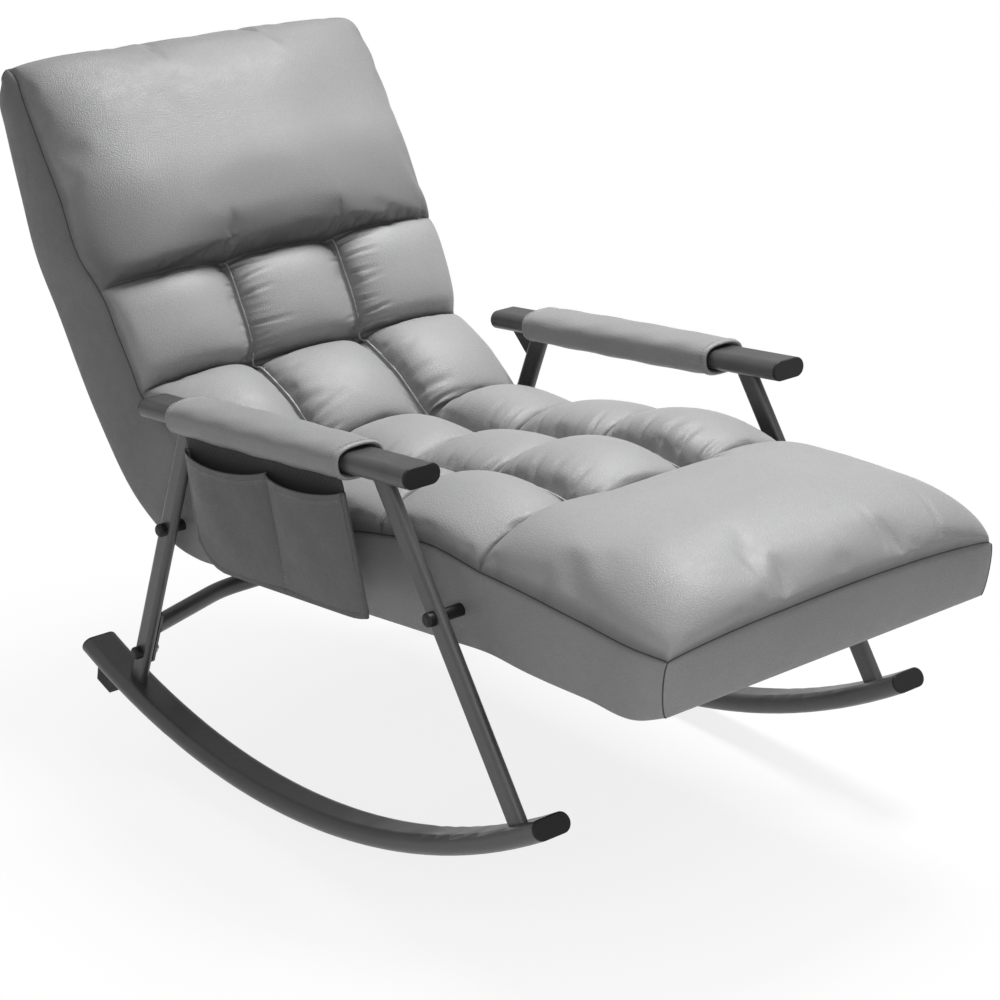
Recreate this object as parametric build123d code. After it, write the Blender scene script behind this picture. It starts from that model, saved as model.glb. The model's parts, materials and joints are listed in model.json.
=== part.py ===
"""Reclining rocking chair, in millimetres.

X runs across the chair, the foot end points to -Y, Z is up and the rockers touch the floor at Z = 0.
Two side frames of flat oval tube carry a seat frame. Ratchet hinges at both ends of the seat frame
carry the backrest and the footrest, and one long tufted cushion covers all three.
"""
from build123d import *
import math
import os

# Side frames
ARM_SPACING = 600.0        # between the side frames, tube centre to tube centre
OVAL_WIDTH = 55.0          # flat oval tube of the armrests and rockers
OVAL_HEIGHT = 26.0
OVAL_WALL = 1.6
LEG_DEPTH = 30.0           # flat oval tube of the legs, fore and aft
LEG_THICKNESS = 15.0
LEG_WALL = 1.5
LEG_LEAN = 28.0            # degrees from upright
FRONT_LEG_TOP = 226.0      # where a leg's centre line meets the armrest, ahead of the middle
REAR_LEG_TOP = 177.0       # the same, behind the middle
ROCKER_RADIUS = 1130.0     # of the rocker's underside
ROCKER_HALF_ANGLE = 26.4
ARM_HEIGHT = 513.0         # armrest tube centre
ARM_FRONT = 311.0          # armrest reach ahead of the middle, with its cap
ARM_REAR = 266.0
CAP_LIP = 3.0
CAP_PLUG = 14.0
PLUG_CLEARANCE = 0.15
STOP_ANGLE = 24.3          # where the anti-tip stop hangs under the rocker
STOP_LENGTH = 46.0
STOP_DROP = 37.0
STOP_WIDTH = 24.0
STOP_TAPER = 9.0
GUSSET_REACH = 46.0
GUSSET_DROP = 36.0
GUSSET_THICKNESS = 4.0

# Rear stretcher
STRETCHER_DIAMETER = 25.0
STRETCHER_WALL = 1.5
STRETCHER_HEIGHT = 184.0
STRETCHER_BOW = 62.0       # how far the middle stands behind the ends
STRETCHER_FLAT = 280.0     # straight middle length
STRETCHER_BEND = 140.0
PLATE_THICKNESS = 4.0
PLATE_WIDTH = 28.0
PLATE_TOP = 208.0
PLATE_BOTTOM = 126.0
LOW_BOLT_HEIGHT = 145.0

# Seat, back and foot frames
RAIL_HEIGHT = 343.0
RAIL_X = 226.0
RAIL_DIAMETER = 25.0
FRAME_DIAMETER = 22.0
FRAME_WALL = 1.5
CROSS_INSET = 62.0         # cross tubes from the hinges
BACK_HINGE_REACH = 47.6    # back hinge behind the rear seat bolt
FOOT_HINGE_REACH = 41.6    # foot hinge ahead of the front seat bolt
BACK_LOWER_ANGLE = 58.0    # backrest tube from level, below its bend
BACK_UPPER_ANGLE = 71.0
BACK_LOWER_LENGTH = 215.0
BACK_UPPER_LENGTH = 330.0
BACK_BEND = 160.0
FRAME_CORNER = 70.0
FOOT_SLOPE = 4.0
FOOT_FRAME_LENGTH = 250.0

# Ratchet hinges
RATCHET_PITCH = 12.0       # degrees a click
RATCHET_RADIUS = 21.0      # tooth tips
TOOTH_DEPTH = 3.0
RATCHET_THICKNESS = 5.0
CHEEK_RADIUS = 22.5
CHEEK_THICKNESS = 3.0
SIDE_CLEARANCE = 0.3
PIVOT_RADIUS = 5.0
PIVOT_HEAD_RADIUS = 8.0
PIVOT_HEAD = 2.5
PIN_CLEARANCE = 0.05
TUBE_GAP = 6.0             # hinge disc to the end of the tube beside it
BACK_PAWL_TURN = 58.0      # pawl from the moving tube, degrees about the hinge
FOOT_PAWL_TURN = 75.0
TONGUE_LENGTH = 34.0
RAIL_TONGUE_WIDTH = 19.0
CHEEK_TONGUE_WIDTH = 13.0
PAWL_DISTANCE = 31.0       # pawl pin from the hinge
PAWL_PIN_RADIUS = 2.5
PAWL_LIFT = 0.6            # pawl tip above the tooth tips while it is lifted
RIVET_RADIUS = 3.0
RECLINE_UP = 12.0          # travel, degrees
RECLINE_DOWN = 36.0
FOOT_DROP = 60.0

# Webbing
STRAP_WIDTH = 50.0
STRAP_THICKNESS = 2.0
SEAT_STRAPS = 6
BACK_STRAPS = 6
FOOT_STRAPS = 3

# Cushion
SEAT_HALF_WIDTH = 262.0
FOOT_HALF_WIDTH = 265.0
HEAD_HALF_WIDTH = 297.0
COLUMN_SEAM = 87.0         # the two lengthwise tuft seams, from the middle
SEAT_DROP = 51.0           # underside below the rails' centre
ROW_SEAMS = (0.346, 0.614, 0.814)   # crosswise tuft seams, as shares of the way between the hinges
KNEE_SEAM = 7.0            # crease between seat and footrest, behind the foot hinge
BOXING = 100.0             # height of the seat's side band
BOXING_BULGE = 4.0
SHOULDER_WIDTH = 32.0      # rounded edge between the side band and the top
COVER = 2.0                # base cloth
FOLD_CLEARANCE = 0.3
LUMBAR_RISE = 170.0        # crease between seat and back, above the back hinge
RECESS_WALL = 6.0          # frame to the foam beside it
STRAP_CLEARANCE = 0.4

# Armrest sleeves and the side pocket
SLEEVE_FRONT = 192.0
SLEEVE_REAR = 186.0
SLEEVE_PAD = 8.0
SLEEVE_CLEARANCE = 0.2
POCKET_FRONT = 214.0
POCKET_REAR = 132.0
POCKET_DIVIDER = 40.0      # ahead of the middle
POCKET_DROP = 35.0         # rim below the armrest tube's centre
POCKET_HEIGHT = 156.0
POCKET_DEPTH = 26.0
POCKET_CLOTH = 3.0
POCKET_TAPER = 14.0

# Fasteners
BOLT_RADIUS = 4.0
BOLT_HOLE_CLEARANCE = 0.2
BOLT_HEAD_RADIUS = 6.5
BOLT_HEAD = 5.0
BOLT_CAP_RADIUS = 9.0
BOLT_CAP_HEIGHT = 11.0
NUT_WIDTH = 13.0
NUT_HEIGHT = 7.0
NUT_TAIL = 3.0             # thread past the nut
SPACER_RADIUS = 8.0
SPACER_CLEARANCE = 0.5

BALANCE_LEAN = 4.7         # degrees that the empty chair leans back where it balances
ORIGIN_SHIFT = 79.0        # moves the chair so that the origin is under the middle of its length

SIDES = {"left": 1, "right": -1}
SIDE_X = ARM_SPACING / 2
FAR = 1500.0               # larger than the chair, for cutting prisms


def rounded_oval(width, height):
    """A flat oval outline with half-round ends, its long side along the sketch's x."""
    return SlotOverall(width, height)


def oval_ring(width, height, wall):
    return rounded_oval(width, height) - rounded_oval(width - 2 * wall, height - 2 * wall)


def section_plane(origin, direction):
    """A plane square to a direction that lies in the YZ plane, with its x across the chair."""
    return Plane(origin=origin, x_dir=(1, 0, 0), z_dir=direction)


def side_prism(points, low_x, high_x):
    """A prism of a YZ outline between two X positions."""
    outline = make_face(Polyline(*[(0, y, z) for y, z in points], close=True))
    return extrude(Pos(low_x, 0, 0) * outline, amount=high_x - low_x, dir=(1, 0, 0))


def cross_rod(radius, low_x, high_x, y, z):
    """A round rod along X."""
    plane = Plane(origin=(low_x, y, z), x_dir=(0, 1, 0), z_dir=(1, 0, 0))
    return extrude(plane * Circle(radius), amount=high_x - low_x)


def leg_y(height, rear):
    """Where a leg's centre line stands at a height."""
    run = (ARM_HEIGHT - height) * math.tan(math.radians(LEG_LEAN))
    return REAR_LEG_TOP + run if rear else -FRONT_LEG_TOP - run


def group(shapes):
    """Several separate solids as one node."""
    return Compound([solid for shape in shapes for solid in shape.solids()])


def write(name, shape):
    rolled = [solid.rotate(rocker_axis(0), -BALANCE_LEAN) for solid in shape.solids()]
    moved = [Pos(0, ORIGIN_SHIFT, 0) * solid for solid in rolled]
    export_step(moved[0] if len(moved) == 1 else Compound(moved), "parts/%s.step" % name)


def rocker_axis(x):
    return Axis((x, 0, ROCKER_RADIUS), (1, 0, 0))


def rocker_body(x, section, half_angle):
    """A section at the rocker's lowest point, turned about the rocker's centre."""
    low = Plane(origin=(x, 0, OVAL_HEIGHT / 2), x_dir=(1, 0, 0), z_dir=(0, 1, 0)) * section
    start = low.rotate(rocker_axis(x), -half_angle)
    return revolve(start, rocker_axis(x), 2 * half_angle)


def end_cap(origin, outward):
    """A moulded plug: an oval lip over the tube's end and a plug inside it."""
    plane = section_plane(origin, outward)
    lip = extrude(plane * rounded_oval(OVAL_WIDTH, OVAL_HEIGHT), amount=CAP_LIP)
    lip = fillet(lip.faces().sort_by(Axis(origin, outward))[-1].edges(), CAP_LIP * 0.6)
    bore = 2 * (OVAL_WALL + PLUG_CLEARANCE)
    plug = extrude(plane * rounded_oval(OVAL_WIDTH - bore, OVAL_HEIGHT - bore), amount=-CAP_PLUG)
    return lip + plug


def leg_axis(rear):
    top = Vector(0, leg_y(ARM_HEIGHT, rear), ARM_HEIGHT)
    foot = Vector(0, leg_y(0, rear), 0)
    return top, foot


def leg_solid(x, rear, section):
    top, foot = leg_axis(rear)
    plane = section_plane(Vector(x, 0, 0) + top, (foot - top).normalized())
    return extrude(plane * Rot(0, 0, 90) * section, amount=(foot - top).length)


def build_side_frame(side):
    """Rocker, legs, armrest tube, caps, anti-tip stop and gusset of one side."""
    x = SIDES[side] * SIDE_X
    reach = ROCKER_HALF_ANGLE
    rocker = rocker_body(x, oval_ring(OVAL_WIDTH, OVAL_HEIGHT, OVAL_WALL), reach)
    rocker_envelope = rocker_body(x, rounded_oval(OVAL_WIDTH, OVAL_HEIGHT), reach)
    write("rocker_" + side, rocker)

    tube_front = -ARM_FRONT + CAP_LIP
    tube_length = ARM_FRONT + ARM_REAR - 2 * CAP_LIP
    arm_plane = section_plane((x, tube_front, ARM_HEIGHT), (0, 1, 0))
    arm = extrude(arm_plane * oval_ring(OVAL_WIDTH, OVAL_HEIGHT, OVAL_WALL), amount=tube_length)
    arm_envelope = extrude(arm_plane * rounded_oval(OVAL_WIDTH, OVAL_HEIGHT), amount=tube_length)
    write("armrest_tube_" + side, arm)

    below_rocker = extrude(Plane.XY * Rectangle(FAR, 2 * FAR), amount=-FAR)
    low_disc = cross_rod(ROCKER_RADIUS - OVAL_HEIGHT / 2, -FAR, FAR, 0, ROCKER_RADIUS)
    leg_ring = oval_ring(LEG_DEPTH, LEG_THICKNESS, LEG_WALL)
    leg_full = rounded_oval(LEG_DEPTH, LEG_THICKNESS)
    envelopes = {}
    for name, rear in (("front_leg_", False), ("rear_leg_", True)):
        leg = leg_solid(x, rear, leg_ring) & low_disc
        leg = leg - arm_envelope - rocker_envelope - below_rocker
        for height in [RAIL_HEIGHT] + ([LOW_BOLT_HEIGHT] if rear else []):
            hole = cross_rod(BOLT_RADIUS + BOLT_HOLE_CLEARANCE, x - LEG_DEPTH, x + LEG_DEPTH,
                             leg_y(height, rear), height)
            leg = leg - hole
        leg = leg.solids().sort_by(SortBy.VOLUME)[-1]
        write(name + side, leg)
        envelopes[rear] = leg_solid(x, rear, leg_full)

    under_arm = ARM_HEIGHT - OVAL_HEIGHT / 2
    corner = leg_y(under_arm, True)
    edge = LEG_DEPTH / 2 / math.cos(math.radians(LEG_LEAN))
    gusset = side_prism([(corner, under_arm + 2), (corner + edge + GUSSET_REACH, under_arm + 2),
                         (corner + edge + GUSSET_REACH, under_arm - 4),
                         (leg_y(under_arm - GUSSET_DROP, True) + edge, under_arm - GUSSET_DROP),
                         (leg_y(under_arm - GUSSET_DROP, True), under_arm - GUSSET_DROP)],
                        x - GUSSET_THICKNESS / 2, x + GUSSET_THICKNESS / 2)
    gusset = (gusset - envelopes[True] - arm_envelope).solids().sort_by(SortBy.VOLUME)[-1]
    return rocker_envelope, gusset


def build_end_caps():
    """Moulded plugs in the ends of the armrest and rocker tubes."""
    for name, outward, y in (("armrest_front_caps", (0, -1, 0), -ARM_FRONT + CAP_LIP),
                             ("armrest_rear_caps", (0, 1, 0), ARM_REAR - CAP_LIP)):
        caps = [end_cap((sign * SIDE_X, y, ARM_HEIGHT), outward) for sign in SIDES.values()]
        write(name, group(caps))
    for name, sign_y in (("rocker_front_caps", -1), ("rocker_rear_caps", 1)):
        caps = []
        for sign in SIDES.values():
            x = sign * SIDE_X
            flat = end_cap((x, 0, OVAL_HEIGHT / 2), (0, sign_y, 0))
            caps.append(flat.rotate(rocker_axis(x), sign_y * ROCKER_HALF_ANGLE))
        write(name, group(caps))


def build_stops(envelopes):
    """Rubber blocks under the rear of the rockers, which meet the floor before the chair tips."""
    half = STOP_LENGTH / 2
    stops = []
    for side, sign in SIDES.items():
        x = sign * SIDE_X
        block = side_prism([(-half, OVAL_HEIGHT / 2), (half, OVAL_HEIGHT / 2),
                            (half - STOP_TAPER / 2, -STOP_DROP), (-half + STOP_TAPER, -STOP_DROP)],
                           x - STOP_WIDTH / 2, x + STOP_WIDTH / 2)
        low_edges = block.edges().group_by(Axis.Z)[0]
        block = fillet(low_edges, STOP_TAPER * 0.6)
        block = block.rotate(rocker_axis(x), STOP_ANGLE) - envelopes[side]
        stops.append(block.solids().sort_by(Axis.Z)[0])
    write("anti_tip_stops", group(stops))


def build_stretcher():
    """The bowed tube between the rear legs, and its end plates."""
    y_end = leg_y(STRETCHER_HEIGHT, True)
    inner = SIDE_X - LEG_THICKNESS / 2 - PLATE_THICKNESS
    half_flat = STRETCHER_FLAT / 2
    run = (SIDE_X - half_flat) / (inner - half_flat)
    y_out = y_end + STRETCHER_BOW * (1 - run)
    y_mid = y_end + STRETCHER_BOW
    height = STRETCHER_HEIGHT
    path = FilletPolyline((-SIDE_X, y_out, height), (-half_flat, y_mid, height),
                          (half_flat, y_mid, height), (SIDE_X, y_out, height), radius=STRETCHER_BEND)
    start = path % 0
    plane = Plane(origin=path @ 0, x_dir=(0, 0, 1), z_dir=start)
    ring = Circle(STRETCHER_DIAMETER / 2) - Circle(STRETCHER_DIAMETER / 2 - STRETCHER_WALL)
    tube = sweep(plane * ring, path=path)
    keep = Pos(0, y_end, height) * Box(2 * inner, FAR, FAR)
    write("rear_stretcher", tube & keep)

    plates = []
    half = PLATE_WIDTH / 2
    for sign in SIDES.values():
        points = [(leg_y(PLATE_BOTTOM, True) - half, PLATE_BOTTOM),
                  (leg_y(PLATE_BOTTOM, True) + half, PLATE_BOTTOM),
                  (leg_y(PLATE_TOP, True) + half, PLATE_TOP),
                  (leg_y(PLATE_TOP, True) - half, PLATE_TOP)]
        low, high = sorted((sign * inner, sign * (inner + PLATE_THICKNESS)))
        plate = side_prism(points, low, high)
        plate = fillet(plate.edges().filter_by(Axis.X), half * 0.5)
        plate = plate - cross_rod(BOLT_RADIUS + BOLT_HOLE_CLEARANCE, low - 1, high + 1,
                                  leg_y(LOW_BOLT_HEIGHT, True), LOW_BOLT_HEIGHT)
        plates.append(plate)
    write("stretcher_plates", group(plates))


def direction(angle):
    """Unit vector in the YZ plane, an angle up from level towards the rear."""
    return Vector(0, math.cos(math.radians(angle)), math.sin(math.radians(angle)))


BACK_HINGE = Vector(0, leg_y(RAIL_HEIGHT, True) + BACK_HINGE_REACH, RAIL_HEIGHT)
FOOT_HINGE = Vector(0, leg_y(RAIL_HEIGHT, False) - FOOT_HINGE_REACH, RAIL_HEIGHT)
SEAT_BOTTOM = RAIL_HEIGHT - SEAT_DROP
POCKET_RIM = ARM_HEIGHT - POCKET_DROP
POCKET_BOTTOM = POCKET_RIM - POCKET_HEIGHT
BACK_KNEE = BACK_HINGE + direction(BACK_LOWER_ANGLE) * BACK_LOWER_LENGTH
BACK_END = BACK_KNEE + direction(BACK_UPPER_ANGLE) * BACK_UPPER_LENGTH
FOOT_ANGLE = 180 + FOOT_SLOPE
FOOT_END = FOOT_HINGE + direction(FOOT_ANGLE) * FOOT_FRAME_LENGTH
TUBE_START = RATCHET_RADIUS + TUBE_GAP
HINGE_ROOM = PAWL_DISTANCE + PAWL_PIN_RADIUS * 2.4 + 2.0
HINGE_HALF = RATCHET_THICKNESS / 2 + SIDE_CLEARANCE + CHEEK_THICKNESS


def round_tube(path, diameter, plane):
    ring = Circle(diameter / 2) - Circle(diameter / 2 - FRAME_WALL)
    return sweep(plane * ring, path=path)


def at_x(point, x):
    return (x, point.Y, point.Z)


def u_frame(points, radii):
    """A bent tube from the left hinge round the far end to the right hinge."""
    route = [at_x(p, RAIL_X) for p in points] + [at_x(p, -RAIL_X) for p in reversed(points)]
    path = FilletPolyline(*route, radius=radii + radii[::-1])
    plane = Plane(origin=path @ 0, x_dir=(1, 0, 0), z_dir=path % 0)
    return round_tube(path, FRAME_DIAMETER, plane)


def cross_tube(point, diameter, beside):
    """A straight tube between the two sides of a frame, coped to the tubes it is welded to."""
    ring = Circle(diameter / 2) - Circle(diameter / 2 - FRAME_WALL)
    plane = Plane(origin=(-RAIL_X, point.Y, point.Z), x_dir=(0, 1, 0), z_dir=(1, 0, 0))
    tube = extrude(plane * ring, amount=2 * RAIL_X)
    for x in (-RAIL_X, RAIL_X):
        plane = Plane(origin=at_x(point - beside * FRAME_CORNER, x), x_dir=(1, 0, 0), z_dir=beside)
        tube = tube - extrude(plane * Circle(beside_radius(point)), amount=2 * FRAME_CORNER)
    return tube


def beside_radius(point):
    on_seat = FOOT_HINGE.Y < point.Y < BACK_HINGE.Y
    return RAIL_DIAMETER / 2 if on_seat else FRAME_DIAMETER / 2


def bolt_positions():
    return [(leg_y(RAIL_HEIGHT, rear), RAIL_HEIGHT) for rear in (False, True)]


def build_seat_frame():
    """Two rails between the hinges and two cross tubes welded between them."""
    front = FOOT_HINGE.Y + TUBE_START
    rear = BACK_HINGE.Y - TUBE_START
    for side, sign in SIDES.items():
        x = sign * RAIL_X
        ring = Circle(RAIL_DIAMETER / 2) - Circle(RAIL_DIAMETER / 2 - FRAME_WALL)
        rail = extrude(section_plane((x, front, RAIL_HEIGHT), (0, 1, 0)) * ring, amount=rear - front)
        for y, z in bolt_positions():
            rail = rail - cross_rod(BOLT_RADIUS + BOLT_HOLE_CLEARANCE, x - RAIL_DIAMETER,
                                    x + RAIL_DIAMETER, y, z)
        write("seat_rail_" + side, rail)
    along = Vector(0, 1, 0)
    inset = along * (CROSS_INSET + TUBE_START)
    write("seat_cross_front", cross_tube(FOOT_HINGE + inset, FRAME_DIAMETER, along))
    write("seat_cross_rear", cross_tube(BACK_HINGE - inset, FRAME_DIAMETER, along))


def rivet_point(hinge, angle):
    """Where a rivet goes through a frame tube and the cheeks' tongues."""
    return hinge + direction(angle) * (TUBE_START + TONGUE_LENGTH / 2)


def build_moving_frame(name, hinge, angle, points, radii, cross_at, cross_along):
    """The bent tube of the backrest or footrest, with its cross tube and rivets."""
    start = hinge + direction(angle) * TUBE_START
    frame = u_frame([start] + points, radii)
    rivet = rivet_point(hinge, angle)
    hole = RIVET_RADIUS
    rivets = []
    for x in (RAIL_X, -RAIL_X):
        half = FRAME_DIAMETER / 2
        frame = frame - cross_rod(hole, x - half, x + half, rivet.Y, rivet.Z)
        rivets.append(cross_rod(hole, x - half, x + half, rivet.Y, rivet.Z))
    write(name + "_frame", frame)
    write(name + "_cross_tube", cross_tube(cross_at, FRAME_DIAMETER, cross_along))
    write(name + "_rivets", group(rivets))


def tongue(hinge, angle, width, thickness, x):
    """A flat bar from the hinge into the bore of the tube beside it."""
    length = TUBE_START + TONGUE_LENGTH
    plane = Plane(origin=at_x(hinge, x - thickness / 2), x_dir=direction(angle), z_dir=(1, 0, 0))
    return extrude(plane * Pos(length / 2, 0) * Rectangle(length, width), amount=thickness)


def ratchet_outline(first_angle, last_angle):
    """A disc with saw teeth from one angle to another, as points in the YZ plane."""
    points = []
    steps = int(round((last_angle - first_angle) / RATCHET_PITCH))
    for step in range(steps):
        angle = first_angle + step * RATCHET_PITCH
        points.append(direction(angle) * (RATCHET_RADIUS - TOOTH_DEPTH))
        points.append(direction(angle + RATCHET_PITCH) * RATCHET_RADIUS)
    return points


def ratchet_wheel(hinge, rail_angle, pawl_angle, x):
    """Toothed wheel with a tongue that goes into the seat rail."""
    spread = 6 * RATCHET_PITCH
    teeth = ratchet_outline(pawl_angle - spread, pawl_angle + spread)
    ends = [hinge + p for p in teeth]
    lines = Polyline(*[(0, p.Y, p.Z) for p in ends])
    far_side = hinge - direction(pawl_angle) * (RATCHET_RADIUS - TOOTH_DEPTH)
    arc = ThreePointArc((0, ends[-1].Y, ends[-1].Z), (0, far_side.Y, far_side.Z), (0, ends[0].Y, ends[0].Z))
    outline = make_face([*lines.edges(), *arc.edges()])
    wheel = extrude(Pos(x - RATCHET_THICKNESS / 2, 0, 0) * outline, amount=RATCHET_THICKNESS, dir=(1, 0, 0))
    wheel = wheel + tongue(hinge, rail_angle, RAIL_TONGUE_WIDTH, RATCHET_THICKNESS, x)
    bore = cross_rod(PIVOT_RADIUS + PIN_CLEARANCE, x - RAIL_DIAMETER, x + RAIL_DIAMETER, hinge.Y, hinge.Z)
    wheel = wheel - bore
    for y, z in bolt_positions():
        wheel = wheel - cross_rod(BOLT_RADIUS + BOLT_HOLE_CLEARANCE, x - RAIL_DIAMETER,
                                  x + RAIL_DIAMETER, y, z)
    return wheel


def cheek_pair(hinge, tube_angle, pawl_angle, x):
    """Two plates that hold the wheel between them and reach into the moving tube."""
    pawl = hinge + direction(pawl_angle) * PAWL_DISTANCE
    rivet = rivet_point(hinge, tube_angle)
    plates = []
    for sign in (-1, 1):
        low = x + sign * (RATCHET_THICKNESS / 2 + SIDE_CLEARANCE)
        low, high = sorted((low, low + sign * CHEEK_THICKNESS))
        plate = cross_rod(CHEEK_RADIUS, low, high, hinge.Y, hinge.Z)
        plate = plate + tongue(hinge, tube_angle, CHEEK_TONGUE_WIDTH, CHEEK_THICKNESS, (low + high) / 2)
        ear = cross_rod(PAWL_PIN_RADIUS * 2.4, low, high, pawl.Y, pawl.Z)
        web = Plane(origin=at_x(hinge, low), x_dir=direction(pawl_angle), z_dir=(1, 0, 0))
        web = extrude(web * Pos(PAWL_DISTANCE / 2, 0) * Rectangle(PAWL_DISTANCE, PAWL_PIN_RADIUS * 4.8),
                      amount=CHEEK_THICKNESS)
        plate = plate + ear + web
        plate = plate - cross_rod(PIVOT_RADIUS + PIN_CLEARANCE, low - 1, high + 1, hinge.Y, hinge.Z)
        plate = plate - cross_rod(PAWL_PIN_RADIUS, low - 1, high + 1, pawl.Y, pawl.Z)
        plate = plate - cross_rod(RIVET_RADIUS, low - 1, high + 1, rivet.Y, rivet.Z)
        plates.append(plate)
    return plates


def pawl_solid(hinge, pawl_angle, x):
    """The catch between the cheeks, lifted just clear of the tooth tips."""
    pin = hinge + direction(pawl_angle) * PAWL_DISTANCE
    thickness = RATCHET_THICKNESS
    low, high = x - thickness / 2, x + thickness / 2
    boss = cross_rod(PAWL_PIN_RADIUS * 2, low, high, pin.Y, pin.Z)
    tip_radius = RATCHET_RADIUS + PAWL_LIFT
    swing = 1.6 * RATCHET_PITCH
    tip = hinge + direction(pawl_angle - swing) * tip_radius
    heel = hinge + direction(pawl_angle - swing) * (tip_radius + 2 * PAWL_PIN_RADIUS)
    back = hinge + direction(pawl_angle) * (PAWL_DISTANCE + PAWL_PIN_RADIUS * 2)
    front = hinge + direction(pawl_angle) * (PAWL_DISTANCE - PAWL_PIN_RADIUS * 2)
    arm = side_prism([(tip.Y, tip.Z), (heel.Y, heel.Z), (back.Y, back.Z), (front.Y, front.Z)], low, high)
    pawl = boss + arm - cross_rod(PAWL_PIN_RADIUS + PIN_CLEARANCE, low - 1, high + 1, pin.Y, pin.Z)
    return pawl


def build_hinges(name, hinge, rail_angle, tube_angle, pawl_angle):
    """The pair of click hinges at one end of the seat frame."""
    pins, pawls, pawl_pins = [], [], []
    pawl_at = hinge + direction(pawl_angle) * PAWL_DISTANCE
    for side, sign in SIDES.items():
        x = sign * RAIL_X
        write("%s_ratchet_%s" % (name, side), ratchet_wheel(hinge, rail_angle, pawl_angle, x))
        write("%s_hinge_cheeks_%s" % (name, side),
              group(cheek_pair(hinge, tube_angle, pawl_angle, x)))
        shaft = cross_rod(PIVOT_RADIUS, x - HINGE_HALF - SIDE_CLEARANCE, x + HINGE_HALF + SIDE_CLEARANCE,
                          hinge.Y, hinge.Z)
        for low in (x - HINGE_HALF - SIDE_CLEARANCE - PIVOT_HEAD, x + HINGE_HALF + SIDE_CLEARANCE):
            shaft = shaft + cross_rod(PIVOT_HEAD_RADIUS, low, low + PIVOT_HEAD, hinge.Y, hinge.Z)
        pins.append(shaft)
        pawls.append(pawl_solid(hinge, pawl_angle, x))
        pawl_pins.append(cross_rod(PAWL_PIN_RADIUS, x - HINGE_HALF, x + HINGE_HALF, pawl_at.Y, pawl_at.Z))
    write(name + "_hinge_pins", group(pins))
    write(name + "_pawls", group(pawls))
    write(name + "_pawl_pins", group(pawl_pins))


def strap(point, along, tube_radius):
    """An elastic strap across a frame, its ends turned down over the tubes."""
    inner = tube_radius + STRAP_CLEARANCE / 2
    outer = inner + STRAP_THICKNESS
    up = Vector(1, 0, 0).cross(along)
    plane = Plane(origin=point - along * (STRAP_WIDTH / 2), x_dir=(1, 0, 0), z_dir=along)
    down = -1 if plane.y_dir.dot(up) > 0 else 1
    band = Rectangle(2 * RAIL_X, STRAP_THICKNESS)
    flat = Pos(0, -down * (inner + STRAP_THICKNESS / 2)) * band
    wraps = []
    for sign in (-1, 1):
        ring = Circle(outer) - Circle(inner)
        quarter = Pos(sign * outer, -down * outer) * Rectangle(2 * outer, 2 * outer)
        wraps.append(Pos(sign * RAIL_X, 0) * (ring & quarter))
    profile = flat + wraps[0] + wraps[1]
    return extrude(plane * profile, amount=STRAP_WIDTH)


def build_webbing():
    """Elastic straps across the seat, back and foot frames."""
    along = Vector(0, 1, 0)
    clear = SPACER_RADIUS + STRAP_WIDTH / 2 + 4
    front = leg_y(RAIL_HEIGHT, False) + clear
    rear = leg_y(RAIL_HEIGHT, True) - clear
    step = (rear - front) / (SEAT_STRAPS - 1)
    seat = [strap(Vector(0, front + i * step, RAIL_HEIGHT), along, RAIL_DIAMETER / 2)
            for i in range(SEAT_STRAPS)]
    write("seat_webbing", group(seat))

    up = direction(BACK_UPPER_ANGLE)
    usable = BACK_UPPER_LENGTH - FRAME_CORNER - STRAP_WIDTH * 1.4
    step = usable / (BACK_STRAPS - 3)
    back = [strap(BACK_KNEE + up * (STRAP_WIDTH * 0.9 + i * step), up, FRAME_DIAMETER / 2)
            for i in range(BACK_STRAPS - 2)]
    low = direction(BACK_LOWER_ANGLE)
    first = TUBE_START + TONGUE_LENGTH + STRAP_WIDTH / 2
    last = BACK_LOWER_LENGTH - STRAP_WIDTH * 0.9
    back += [strap(BACK_HINGE + low * first, low, FRAME_DIAMETER / 2),
             strap(BACK_HINGE + low * last, low, FRAME_DIAMETER / 2)]
    write("back_webbing", group(back))

    out = direction(FOOT_ANGLE)
    first = TUBE_START + TONGUE_LENGTH + STRAP_WIDTH / 2
    last = FOOT_FRAME_LENGTH - FRAME_CORNER - STRAP_WIDTH * 0.3
    step = (last - first) / (FOOT_STRAPS - 1)
    foot = [strap(FOOT_HINGE + out * (first + i * step), out * -1, FRAME_DIAMETER / 2)
            for i in range(FOOT_STRAPS)]
    write("foot_webbing", group(foot))


def bulged(start, end, rise):
    """An arc between two points that stands off its chord, to the left of the way it runs."""
    (x0, y0), (x1, y1) = start, end
    length = math.hypot(x1 - x0, y1 - y0)
    middle = ((x0 + x1) / 2 - (y1 - y0) / length * rise, (y0 + y1) / 2 + (x1 - x0) / length * rise)
    return ThreePointArc(start, middle, end)


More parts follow.
